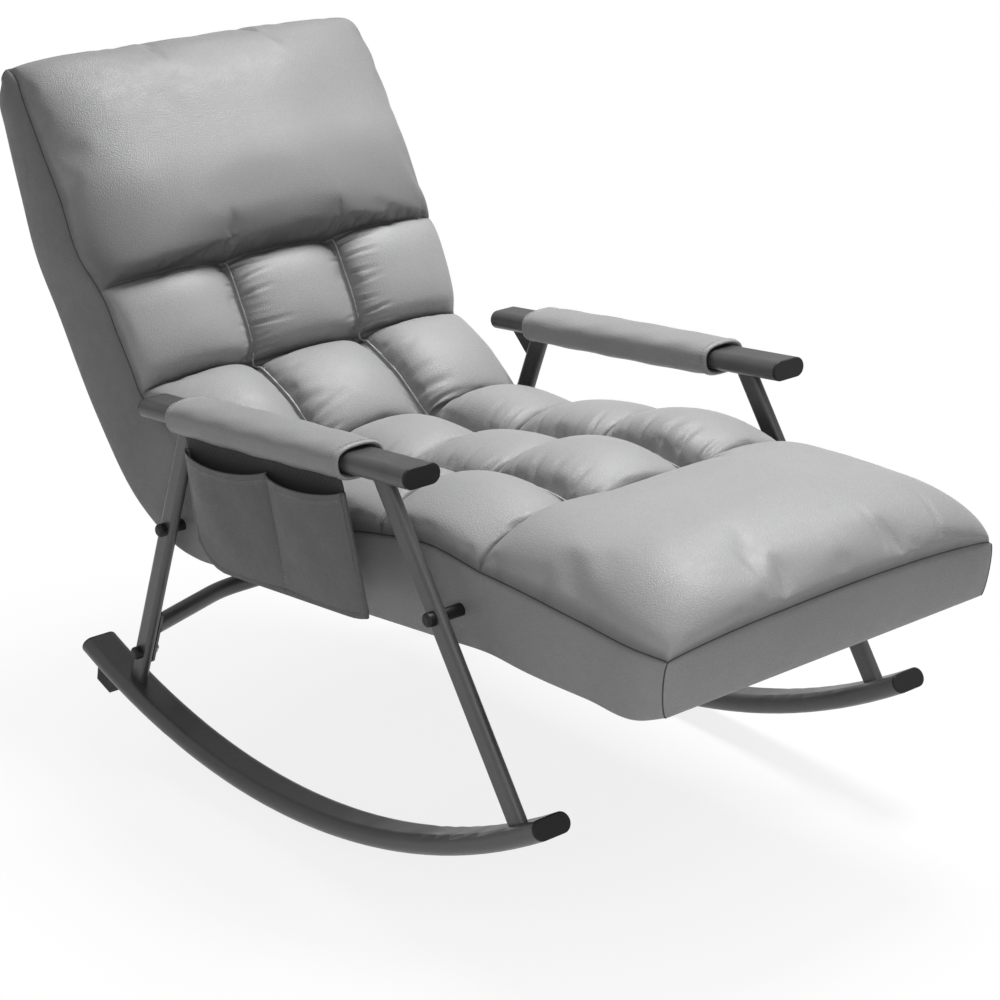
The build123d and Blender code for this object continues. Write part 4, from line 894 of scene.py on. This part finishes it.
def end_panel(first, second, top_line, share, out):
    """Points that close an end of the chaise from its top line down, between the ends of both bands."""
    down = crowded(BAND_QUADS, BAND_CROWD)
    grid = between(first, second, share)
    grid = grid + (top_line - grid[0]) * (1 - down)[:, None, None] ** 1.5
    bulge = END_BULGE * (np.sin(math.pi * down) ** BAND_FULLNESS)[:, None] * (1 - (2 * share - 1) ** 8)
    grid[:, :, 1:] += out * bulge[:, :, None]
    return grid[1:, 1:-1]


class PointGrids:
    """Points of a mesh that is made grid by grid."""

    def __init__(self):
        self.points = np.zeros((0, 3))

    def add(self, grid):
        """Adds a grid of points and gives their numbers in the same layout."""
        start = len(self.points)
        self.points = np.concatenate([self.points, grid.reshape(-1, 3)])
        return np.arange(start, len(self.points)).reshape(grid.shape[:2])


def underside_faces(base, ends):
    """Faces of the underside, and of its joins to the finer lower edges of both end panels."""
    faces = grid_faces(base)
    for rim, inside in ((ends[0][-1], base[0]), (ends[1][-1], base[-1])):
        for k in range(base.shape[1] - 1):
            faces.append((*rim[k * UNDER_STEP:(k + 1) * UNDER_STEP + 1], inside[k + 1], inside[k]))
    return faces


def chaise_mesh(settings):
    """The whole chaise in the level frame: points, faces, materials, sewn points, seams and layers."""
    zone, share, reach, side = chaise_rows()
    across, panel_points, forth = top_panel(zone, share, reach, side, settings)
    mesh = PointGrids()
    panel = mesh.add(panel_points)
    bands = []
    for sign, edge in ((-1, 0), (1, -1)):
        fresh = mesh.add(side_band(sign, reach, side, settings.band_bulge))
        bands.append(np.column_stack([panel[:, edge], fresh]))
    minus, plus = bands
    ends = []
    for row, way in ((0, -1), (-1, 1)):
        fresh = mesh.add(end_panel(mesh.points[minus[row]], mesh.points[plus[row]], mesh.points[panel[row]],
                                   width_shares(across[row]), way * forth[row]))
        lower = np.column_stack([minus[row, 1:], fresh, plus[row, 1:]])
        ends.append(np.vstack([panel[row], lower]))
    first, second = minus[1:-1, -1], plus[1:-1, -1]
    places = width_shares(across[0])[::UNDER_STEP][1:-1]
    fresh = mesh.add(between(mesh.points[first], mesh.points[second], places))
    base = np.column_stack([first, fresh, second])

    parts = [(TOP, grid_faces(panel))]
    parts += [(BAND, grid_faces(grid)) for grid in (*bands, *ends)]
    parts.append((UNDER, underside_faces(base, ends)))
    faces = [face for _, more in parts for face in more]
    leathers = [number for number, more in parts for _ in more]
    columns = np.cumsum(COLUMN_QUADS)[:2]
    tufted = panel[(zone != "head") & (zone != "foot")]
    sewn = np.ones(len(mesh.points), bool)
    sewn[panel[:, 1:-1]] = False
    sewn[tufted[:, columns]] = True
    sewn[panel[np.cumsum([0] + [quads for *_, quads in ZONES])]] = True
    seams = list(tufted[:, columns].T)
    rims = [panel[:, 0], panel[:, -1], panel[0], panel[-1]]
    rims += [band[row] for band in bands for row in (0, -1)]

    lie = {name: np.zeros(len(mesh.points)) for name in LAYERS}
    lie["reach"][panel] = reach[:, None]
    lie["across"][panel] = across
    lie["inset"][:] = EDGE_CALM
    from_ends = np.minimum(reach - reach[0], reach[-1] - reach)[:, None]
    lie["inset"][panel] = np.minimum(side[:, 4:5] - np.abs(across), from_ends)
    lie["top"][panel] = 1.0
    return mesh.points, faces, leathers, sewn, seams, rims, lie


def inflate(piece, sewn, settings):
    """Lets the leather swell between its sewn lines by a cloth simulation, and keeps the result."""
    group = piece.vertex_groups.new(name="sewn")
    group.add([int(i) for i in np.flatnonzero(sewn)], 1.0, "REPLACE")
    modifier = piece.modifiers.new("swell", "CLOTH")
    for name, value in CLOTH.items():
        setattr(modifier.settings, name, value)
    modifier.settings.vertex_group_mass = group.name
    modifier.settings.uniform_pressure_force = settings.pressure
    modifier.settings.shrink_min = -settings.growth
    modifier.settings.effector_weights.gravity = 0.0
    modifier.collision_settings.use_collision = False
    modifier.point_cache.frame_start = 1
    modifier.point_cache.frame_end = SWELL_FRAMES
    before = np.zeros(3 * len(piece.data.vertices))
    after = np.zeros_like(before)
    piece.data.vertices.foreach_get("co", before)
    scene = bpy.context.scene
    for number in range(1, SWELL_FRAMES + 1):
        scene.frame_set(number)
    evaluated = piece.evaluated_get(bpy.context.evaluated_depsgraph_get())
    evaluated.data.vertices.foreach_get("co", after)
    piece.modifiers.clear()
    piece.vertex_groups.clear()
    scene.frame_set(1)
    move = (after - before).reshape(-1, 3)
    size = np.linalg.norm(move, axis=1)
    move *= np.minimum(1.0, settings.swell / np.maximum(size, 1e-9))[:, None]
    piece.data.vertices.foreach_set("co", before + move.ravel())
    piece.data.update()


def half_of(whole, name, keep_rear):
    """One half of the chaise, cut at its split seam and closed there."""
    piece = whole.copy()
    piece.data = whole.data.copy()
    piece.name = name
    bpy.context.scene.collection.objects.link(piece)
    station = level_stations()[SPLIT_STATION]
    form = bmesh.new()
    form.from_mesh(piece.data)
    cut = bmesh.ops.bisect_plane(form, geom=form.verts[:] + form.edges[:] + form.faces[:],
                                 plane_co=tuple_point((0, station[0], station[1])),
                                 plane_no=tuple(LEVEL_Y), clear_inner=keep_rear, clear_outer=not keep_rear)
    rim = [g for g in cut["geom_cut"] if isinstance(g, bmesh.types.BMEdge)]
    lid = bmesh.ops.contextual_create(form, geom=rim)
    for face in lid["faces"]:
        face.material_index = BAND
        face.smooth = False
    bmesh.ops.triangulate(form, faces=[f for f in form.faces if len(f.verts) > 4])
    bmesh.ops.recalc_face_normals(form, faces=form.faces)
    form.to_mesh(piece.data)
    form.free()
    return piece


def write_layer(mesh, name, values):
    layer = mesh.attributes.new(name, "FLOAT", "POINT")
    layer.data.foreach_set("value", values.astype(np.float32))


def take_layer(mesh, name):
    """A layer's values, taken off the mesh."""
    values = np.zeros(len(mesh.vertices), np.float32)
    mesh.attributes[name].data.foreach_get("value", values)
    mesh.attributes.remove(mesh.attributes[name])
    return values.astype(float)


# Painted shade that fades away from a crease, seam or edge
def painted_shade_near(distance, place):
    share, width = PAINTED_SHADE[place]
    return share * fade(distance, width)


def tuck(piece, settings):
    """Presses puckers, tuft dips and seam grooves into the finished leather, and writes painted shade near
    its seams and creases into the seam layer.
    """
    mesh = piece.data
    reach, across, inset, top_share = (take_layer(mesh, name) for name in LAYERS)
    points, normals = np.zeros(3 * len(reach)), np.zeros(3 * len(reach))
    mesh.vertices.foreach_get("co", points)
    mesh.vertex_normals.foreach_get("vector", normals)
    points, normals = points.reshape(-1, 3), normals.reshape(-1, 3)

    limits = zone_limits()
    top = top_share > ON_TOP
    tufted = (reach >= limits["row5"][0]) & (reach <= limits["row1"][1])
    aside = np.abs(across) - settings.column_seam
    crease = np.min([np.abs(reach - limits[row][0]) for row in list(limits)[1:]], axis=0)
    column = np.where(tufted, np.abs(aside), FAR)
    crossing = np.where(tufted, np.hypot(aside, crease), FAR)
    rim = np.where(top, inset, (1 - top_share) * BAND_EDGE)
    rim = np.where(top_share > OFF_TOP, rim, FAR)

    move = -SEAM_GROOVE[0] * fade(rim, SEAM_GROOVE[1])
    folds = chaise_gathers(reach[top], across[top], settings.column_seam, settings.pucker_depth)
    dips = TUFT_DIP[0] * fade(crossing[top], TUFT_DIP[1])
    move[top] += (folds - dips) * np.clip(inset[top] / EDGE_CALM, 0, 1)
    mesh.vertices.foreach_set("co", (points + normals * move[:, None]).ravel())

    # Painted shade on the top panel: in creases and hollows, along and beside the column seams, where seams
    # cross, by the head's top edge and under the head
    beside = np.where(across > 0, aside, -aside)
    on_top = np.max([
        painted_shade_near(crease, "crease"), painted_shade_near(column, "column"), painted_shade_near(crease, "hollow"),
        painted_shade_near(crossing, "crossing"), painted_shade_near(limits["head"][1] - reach, "head edge"),
        np.where((column < COLUMN_SIDE) & (beside > 0), painted_shade_near(beside, "column side"), 0),
        np.where(reach > limits["head"][0], painted_shade_near(crease, "under head"), 0)], axis=0)
    # Painted shade on the bands, growing along CAD Y from its start
    share, start, length = BAND_PAINTED_SHADE
    on_band = share * np.clip((points[:, 1] - start) / length, 0, 1)
    write_layer(mesh, "seam", np.maximum(painted_shade_near(rim, "rim"), np.where(top, on_top, on_band)))
    mesh.update()


class CHAIR_OT_chaise(bpy.types.Operator):
    """Builds the tufted leather chaise over seat, back and footrest"""
    bl_idname = "chair.chaise"
    bl_label = "Chaise cushion"

    def bend(self, piece, rear):
        """Bakes a piece's placement into its mesh, the same way for the rear half and the front half."""
        if rear:
            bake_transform(piece)
        else:
            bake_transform(piece)

    def sew_half(self, piece, rear, places, lines_of):
        """Sews the lighter ridges, a painted highlight, and the dark lines, a painted shadow, of one half of
        the chaise along lines of its points.
        """
        split = placed((0, *level_stations()[SPLIT_STATION][0:2])) @ LEVEL_Y
        behind = 1 if rear else -1
        for word, lines, material, radius, lie_off in lines_of:
            half = [places[line] + lie_off * (1.0 if rear else FRONT_RIDGE_LIE) for line in lines]
            half = [line[(line @ LEVEL_Y - split) * behind > -RIDGE_OVERLAP] for line in half]
            half = [line for line in half if len(line) > 1]
            sewing = sew(piece.name + word, "ridge", half, material, Radius=radius)
            self.bend(sewing, rear)

    def execute(self, context):
        settings = context.scene.chair_chaise
        points, faces, leathers, sewn, seams, rims, lie = chaise_mesh(settings)
        # The band leather is the top leather with painted shade
        materials = [leather("chaise top leather", settings.top_colour, painted_shade=PAINTED_SHADE_SHARE),
                     leather("shaded chaise band leather", settings.shaded_band_colour, 0.5, painted_shade=PAINTED_SHADE_SHARE), base_cloth()]
        whole = new_piece("chaise", placed(points), faces, materials, leathers)
        turn_outward(whole)
        for name, values in lie.items():
            write_layer(whole.data, name, values)
        inflate(whole, sewn, settings)
        subdivide(whole)
        tuck(whole, settings)
        rear = half_of(whole, "chaise_rear", True)
        front = half_of(whole, "chaise_front", False)
        # Ridges along the column seams in a lighter leather, a painted highlight
        ridge = leather("highlighted seam ridge leather", settings.ridge_highlight_colour, 0.4)
        groove = leather("seam shadow", darker(settings.shaded_band_colour, SHADOW_TONE), 0.6)
        places = np.array([vertex.co for vertex in whole.data.vertices])
        for piece in (rear, front):
            self.sew_half(piece, piece is rear, places,
                          (("_ridges", seams, ridge, SEAM_RIDGE[0], turned(SEAM_RIDGE[1])),
                           ("_seams", rims, groove, RIM_RADIUS, np.zeros(3))))
            self.bend(piece, piece is rear)
        bpy.data.objects.remove(whole)
        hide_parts("cushion_back", "lumbar_fold", "back_base_cloth", "cushion_seat",
                    "seat_base_cloth")
        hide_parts("cushion_foot", "knee_fold", "foot_base_cloth")
        return {"FINISHED"}


# Armrest sleeves


def ring_angles():
    return np.linspace(0, 2 * math.pi, RING_POINTS, endpoint=False)


def sleeve_ring(y, x, pad):
    """A closed ring of points round the armrest tube."""
    c, s = np.cos(ring_angles()), np.sin(ring_angles())
    wide, high = TUBE_HALF[0] + pad, TUBE_HALF[1] + pad
    return np.stack([x + wide * np.sign(c) * np.abs(c) ** (2 / RING_SQUARE), 0 * c + y,
                     ARM_Z + high * np.sign(s) * np.abs(s) ** (2 / RING_SQUARE)], 1)


def sleeve_mesh(sign):
    """A padded sleeve with rolled hems, closed round the armrest tube."""
    front, rear = SLEEVE_ENDS
    end = [(front + inset, pad) for inset, pad in SLEEVE_HEM]
    last, hem_pad = end[-1]
    body = np.linspace(last + SLEEVE_STEP, front + rear - last - SLEEVE_STEP, SLEEVE_RINGS)
    fullness = np.sin(np.clip((body - body[0]) / (body[-1] - body[0]), 0, 1) * math.pi) ** 0.35
    outer = [(y, hem_pad + (SLEEVE_PAD - hem_pad) * f) for y, f in zip(body, fullness)]
    mirror = [(front + rear - y, pad) for y, pad in reversed(end)]
    angle = ring_angles()
    rings = []
    for y, pad in end + outer + mirror:
        ring = sleeve_ring(y, sign * ARM_X, pad)
        if pad > hem_pad:
            wave = (np.sin(3 * angle + 31 * y) * np.sin(47 * y + 2 * sign)
                    + 0.7 * np.sin(5 * angle - 70 * y))
            ring[:, 0] += SLEEVE_WRINKLE * wave * np.cos(angle)
            ring[:, 2] += SLEEVE_WRINKLE * wave * np.sin(angle)
        rings.append(ring)
    index = np.arange(len(rings) * RING_POINTS).reshape(len(rings), RING_POINTS)
    index = np.concatenate([index, index[:1]], 0)
    index = np.concatenate([index, index[:, :1]], 1)
    return np.concatenate(rings), grid_faces(index)


def stitch_row(name, lines, settings):
    return sew(name, "stitches", lines, thread(), Pitch=settings.stitch_pitch,
               Length=settings.stitch_pitch * STITCH_SHARE, Width=settings.stitch_width)


class CHAIR_OT_sleeves(bpy.types.Operator):
    """Builds the padded armrest sleeves"""
    bl_idname = "chair.sleeves"
    bl_label = "Armrest sleeves"

    def execute(self, context):
        settings = context.scene.chair_arms
        for side, sign in (("left", 1), ("right", -1)):
            points, faces = sleeve_mesh(sign)
            piece = new_piece("sleeve_" + side, placed(points), faces,
                              [leather("sleeve leather", settings.sleeve_colour, 0.44)])
            turn_outward(piece)
            subdivide(piece)
            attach(piece, "chair_frame")
            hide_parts("armrest_sleeve_" + side)
            inset, pad = SLEEVE_HEM[HEM_STITCH]
            lines = []
            for y in (SLEEVE_ENDS[0] + inset + HEM_STITCH_IN, SLEEVE_ENDS[1] - inset - HEM_STITCH_IN):
                ring = sleeve_ring(y, sign * ARM_X, pad + STITCH_LIFT)
                lines.append(placed(np.concatenate([ring, ring[:1]])))
            sewing = stitch_row("sleeve_stitches_" + side, lines, settings)
            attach(sewing, "chair_frame")
        return {"FINISHED"}


# Side pocket


def pouch_share(along):
    """Share of its own pouch, from a share of the whole pocket's length."""
    return np.where(along < POCKET_SPLIT, along / POCKET_SPLIT, (along - POCKET_SPLIT) / (1 - POCKET_SPLIT))


def pocket_point(along, down, lift):
    """A point of the pocket's face: share from front to rear, share from rim to bottom, and lift off it."""
    front = POCKET_FRONT[0] + (POCKET_FRONT[1] - POCKET_FRONT[0]) * down
    rear = POCKET_REAR[0] + (POCKET_REAR[1] - POCKET_REAR[0]) * down
    dip = np.where(along < POCKET_SPLIT, POCKET_DIP[1], POCKET_DIP[0])
    rim = POCKET_RIM - dip * np.sin(math.pi * pouch_share(along)) ** 0.7
    low = POCKET_LOW
    for start, length, height, form in POCKET_CORNERS:
        low = low + height * np.clip((along - start) / length, 0, 1) ** form
    return np.stack([-(POCKET_X + lift + 0 * along), front + (rear - front) * along,
                     rim + (low - rim) * down], -1)


def pouch_lift(along, down):
    """How far the pouches stand off the back panel: open at the rim and sewn down at seams and bottom."""
    local = pouch_share(along)
    across = np.clip(4 * local * (1 - local), 0, 1) ** 0.55
    depth = (1 - down ** 3.2) * (0.86 + 0.14 * np.cos(math.pi * down))
    sag = 0.0016 * np.sin(9 * local + 4 * down) * np.sin(math.pi * down)
    hem = HEM_THICK * np.clip((POCKET_HEM / (POCKET_RIM - POCKET_LOW) - down) * 90 + 0.5, 0, 1)
    return POUCH_SEWN + (POCKET_GAPE * depth + sag) * across + hem


def pocket_cloth(name, face, material):
    """A piece of the pocket from a grid of points, as thick as its cloth."""
    piece = new_piece(name, placed(face.reshape(-1, 3)),
                      grid_faces(np.arange(face[..., 0].size).reshape(face.shape[:2])), [material])
    thicken(piece, POCKET_CLOTH)
    return piece


def back_panel_face():
    """Points of the back panel: behind the pouches, and above them leaning out to the sleeve."""
    u, v = np.meshgrid(*(np.linspace(0, 1, count) for count in PANEL_GRID), indexing="ij")
    down = np.clip((v - POCKET_FLAP) / (1 - POCKET_FLAP), 0, 1)
    above = np.clip((POCKET_FLAP - v) / POCKET_FLAP, 0, 1)
    face = pocket_point(u, down, -0.5 * POCKET_CLOTH + FLAP_LEAN * above ** 1.5)
    face[:, :, 2] += (POCKET_TOP - face[:, :, 2]) * above
    return face


def pouches_face():
    half = crowded(26, 0.07)
    along = np.concatenate([half * POCKET_SPLIT, POCKET_SPLIT + half[1:] * (1 - POCKET_SPLIT)])
    u, v = np.meshgrid(along, np.concatenate([POUCH_ROWS, np.linspace(0.14, 1, 24)]), indexing="ij")
    return pocket_point(u, v, pouch_lift(u, v) + 0.5 * POCKET_CLOTH)


def binding_path():
    """Down the front edge, along the bottom and up the rear edge of the pocket."""
    t = np.linspace(0, 1, 30)
    edges = ((0 * t, t * TAPE_LOW), (t[1:-1], 0 * t[1:-1] + TAPE_LOW), (0 * t + 1, TAPE_LOW * (1 - t)))
    return np.concatenate([pocket_point(along, down, TAPE_LIFT) for along, down in edges])


def pocket_lines():
    """Stitched lines of the pocket: the hem of each pouch and the seam between them."""
    hem = np.linspace(0.012, 0.988, 160)
    hem = hem[np.abs(hem - POCKET_SPLIT) > HEM_BREAK]
    down = np.linspace(0.03, 0.97, 60)
    hem, seam = (pocket_point(u, v, pouch_lift(u, v) + POCKET_CLOTH + THREAD_LIFT)
                 for u, v in ((hem, 0 * hem + HEM_SEWN), (0 * down + POCKET_SPLIT, down)))
    return [placed(line) for line in (hem[:len(hem) // 2], hem[len(hem) // 2:], seam)]


def thicken(piece, thickness):
    modifier = piece.modifiers.new("cloth", "SOLIDIFY")
    modifier.thickness = thickness
    modifier.offset = 0.0
    modifier.use_even_offset = True
    apply_modifiers(piece)


def binding_mesh(path, width, thick):
    """A folded edge tape along a path in the pocket's plane, closed at both ends."""
    path = np.asarray(path)
    along = np.gradient(path, axis=0)
    along /= np.linalg.norm(along, axis=1)[:, None]
    out = np.array([-1.0, 0.0, 0.0])
    side = np.cross(along, out)
    angle = np.linspace(0, 2 * math.pi, 14, endpoint=False)
    c, s = np.cos(angle), np.sin(angle)
    flat = np.sign(c) * np.abs(c) ** 0.5 * width / 2
    high = np.sign(s) * np.abs(s) ** 0.7 * thick / 2
    rings = path[:, None, :] + side[:, None, :] * flat[None, :, None] + out * high[None, :, None]
    index = np.arange(rings.shape[0] * len(angle)).reshape(rings.shape[0], len(angle))
    faces = grid_faces(np.concatenate([index, index[:, :1]], 1))
    faces += [tuple(index[0][::-1]), tuple(index[-1])]
    return rings.reshape(-1, 3), faces


class CHAIR_OT_pocket(bpy.types.Operator):
    """Builds the pocket with two pouches that hangs from the right sleeve"""
    bl_idname = "chair.pocket"
    bl_label = "Side pocket"

    def execute(self, context):
        settings = context.scene.chair_arms
        hide = leather("pocket leather", settings.pocket_colour, 0.5)
        dark = leather("pocket binding", darker(settings.pocket_colour, 0.8), 0.46)
        lining = finish("pocket lining", "weave", darker(settings.pocket_colour, 0.3), 0.85, 0.0002)
        panel = pocket_cloth("pocket_back", back_panel_face(), lining)
        pouches = pocket_cloth("pocket_pouches", pouches_face(), hide)
        points, faces = binding_mesh(binding_path(), *TAPE)
        tape = new_piece("pocket_binding", placed(points), faces, [dark])
        turn_outward(tape)
        sewing = stitch_row("pocket_stitches", pocket_lines(), settings)
        for piece in (panel, pouches, tape, sewing):
            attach(piece, "chair_frame")
        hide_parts("side_pocket")
        return {"FINISHED"}


# Frame finishes


class CHAIR_OT_finishes(bpy.types.Operator):
    """Gives every CAD piece its finish"""
    bl_idname = "chair.finishes"
    bl_label = "Frame finishes"

    def execute(self, context):
        settings = context.scene.chair_finish
        paint = finish("gunmetal powder coat", "coat", settings.paint_colour, 0.36, 0.00012, metallic=0.35)
        black = finish("black moulded plastic", "coat", (0.009, 0.009, 0.0095), 0.45, 0.0001, specular=0.28,
                       Grain=600.0)
        rubber = finish("stop rubber", "coat", (0.010, 0.010, 0.010), 0.72, 0.0002, Grain=400.0)
        steel = finish("zinc-plated steel", "coat", (0.46, 0.46, 0.45), 0.30, 0.00006, metallic=1.0)
        web = finish("seat webbing", "weave", (0.020, 0.020, 0.021), 0.8, 0.0006, Threads=1400.0)
        words = {"webbing": web, "base_cloth": base_cloth(), "caps": black, "stops": rubber, "spacers": black}
        words.update(dict.fromkeys(("ratchet", "cheeks", "pins", "pawls", "rivets", "bolts", "nuts"), steel))
        for name, node in frame["nodes"].items():
            chosen = next((material for word, material in words.items() if word in name), paint)
            node.data.materials.clear()
            node.data.materials.append(chosen)
        return {"FINISHED"}


# Studio


def studio_floor(colour):
    """A floor that stays near white from above, takes the chair's shadow and is clear from below."""
    material = bpy.data.materials.new("studio floor")
    material.use_nodes = True
    tree = material.node_tree
    shader = tree.nodes["Principled BSDF"]
    shader.inputs["Roughness"].default_value = 0.9
    shader.inputs["Specular IOR Level"].default_value = 0.1
    glow = shader_node(tree, "ShaderNodeEmission", {"Color": (1, 1, 1, 1), "Strength": 1.0})
    rays = shader_node(tree, "ShaderNodeLightPath")
    seen = maths(tree, "ADD", rays.outputs["Is Camera Ray"], rays.outputs["Is Glossy Ray"], clamp=True)
    tone = mix_colour(tree, seen, (*colour, 1.0), FLOOR_SEEN)
    tree.links.new(tone, shader.inputs["Base Color"])
    spot = shader_node(tree, "ShaderNodeTexCoord").outputs["Object"]
    away = shader_node(tree, "ShaderNodeVectorMath", {0: spot}, operation="LENGTH").outputs["Value"]
    share = maths(tree, "MULTIPLY", seen, spread(tree, away, *FLOOR_GLOW))
    mixed = shader_node(tree, "ShaderNodeMixShader", {0: share, 1: shader.outputs[0], 2: glow.outputs[0]})
    clear = shader_node(tree, "ShaderNodeBsdfTransparent")
    below = shader_node(tree, "ShaderNodeNewGeometry").outputs["Backfacing"]
    sided = shader_node(tree, "ShaderNodeMixShader", {0: below, 1: mixed.outputs[0], 2: clear.outputs[0]})
    tree.links.new(sided.outputs[0], tree.nodes["Material Output"].inputs["Surface"])
    return material


def soft_lamp(name, place, aim, edge, watts, mirrored):
    """A square studio lamp that looks at a point."""
    lamp = bpy.data.lights.new(name, "AREA")
    lamp.size = edge
    lamp.energy = watts
    holder = bpy.data.objects.new(name, lamp)
    spot, target = Vector(tuple_point(place)), Vector(tuple_point(aim))
    turn = (target - spot).to_track_quat("-Z", "Y").to_matrix().to_4x4()
    holder.matrix_world = Matrix.Translation(spot) @ turn
    holder.visible_glossy = mirrored
    bpy.context.scene.collection.objects.link(holder)


def studio_air():
    """A world that is white to the camera, dimmer in mirror images and faint as light."""
    world = bpy.data.worlds.new("studio air")
    world.use_nodes = True
    tree = world.node_tree
    air = tree.nodes["Background"]
    rays = shader_node(tree, "ShaderNodeLightPath").outputs
    seen = maths(tree, "ADD", rays["Is Camera Ray"], rays["Is Glossy Ray"], clamp=True)
    back = shader_node(tree, "ShaderNodeNewGeometry").outputs["Incoming"]
    facing = shader_node(tree, "ShaderNodeVectorMath", {0: back, 1: tuple(turned(CAMERA_BACK))},
                         operation="DOT_PRODUCT").outputs["Value"]
    shine = maths(tree, "MULTIPLY", rays["Is Glossy Ray"], spread(tree, facing, *AIR_MIRRORED))
    bright = maths(tree, "ADD", shine, rays["Is Camera Ray"])
    dim = maths(tree, "MULTIPLY", maths(tree, "SUBTRACT", 1.0, seen), AIR_LIGHT)
    tree.links.new(maths(tree, "ADD", bright, dim), air.inputs["Strength"])
    air.inputs["Color"].default_value = (1, 1, 1, 1)
    return world


def photo_camera():
    lens = bpy.data.cameras.new("photo camera")
    lens.sensor_width = SENSOR
    lens.lens = FOCAL_LENGTH
    lens.clip_end = 60
    camera = bpy.data.objects.new("photo camera", lens)
    axes = [turned(v) for v in (CAMERA_RIGHT, CAMERA_UP, CAMERA_BACK)]
    spot = placed(CAMERA_PLACE)
    camera.matrix_world = Matrix([[*(float(a[i]) for a in axes), float(spot[i])] for i in range(3)]
                                 + [[0, 0, 0, 1]])
    return camera


class CHAIR_OT_stage(bpy.types.Operator):
    """Sets up floor, lamps, backdrop and camera"""
    bl_idname = "chair.stage"
    bl_label = "Studio"

    def execute(self, context):
        scene = context.scene
        corners = [(x * FLOOR_REACH, y * FLOOR_REACH, 0) for x, y in ((-1, -1), (1, -1), (1, 1), (-1, 1))]
        floor = new_piece("studio_floor", corners, [(0, 1, 2, 3)],
                          [studio_floor(scene.chair_finish.floor_colour)])
        for name, lamp in LAMPS.items():
            soft_lamp(name, *lamp)
        scene.world = studio_air()
        camera = photo_camera()
        scene.collection.objects.link(camera)
        scene.camera = camera
        scene.view_settings.view_transform = "Standard"
        return {"FINISHED"}


class CHAIR_PT_parts(bpy.types.Panel):
    """Lists the chair's settings and build steps"""
    bl_label = "Rocking Chair"
    bl_space_type = "VIEW_3D"
    bl_region_type = "UI"
    bl_category = "Rocking Chair"

    def draw(self, context):
        for group in (context.scene.chair_chaise, context.scene.chair_arms, context.scene.chair_finish):
            for prop in group.bl_rna.properties:
                if prop.identifier not in ("name", "rna_type"):
                    self.layout.prop(group, prop.identifier)
        for step in STEPS:
            self.layout.operator(step.bl_idname)


STEPS = (CHAIR_OT_finishes, CHAIR_OT_chaise, CHAIR_OT_sleeves, CHAIR_OT_pocket, CHAIR_OT_stage)
CLASSES = (ChaiseSettings, ArmSettings, FinishSettings) + STEPS + (CHAIR_PT_parts,)


def register():
    for cls in CLASSES:
        bpy.utils.register_class(cls)
    bpy.types.Scene.chair_chaise = bpy.props.PointerProperty(type=ChaiseSettings)
    bpy.types.Scene.chair_arms = bpy.props.PointerProperty(type=ArmSettings)
    bpy.types.Scene.chair_finish = bpy.props.PointerProperty(type=FinishSettings)


def unregister():
    del bpy.types.Scene.chair_finish
    del bpy.types.Scene.chair_arms
    del bpy.types.Scene.chair_chaise
    for cls in reversed(CLASSES):
        bpy.utils.unregister_class(cls)


def main():
    register()
    bpy.ops.chair.finishes()
    bpy.ops.chair.chaise()
    bpy.ops.chair.sleeves()
    bpy.ops.chair.pocket()
    bpy.ops.chair.stage()


if __name__ == "__main__":
    main()
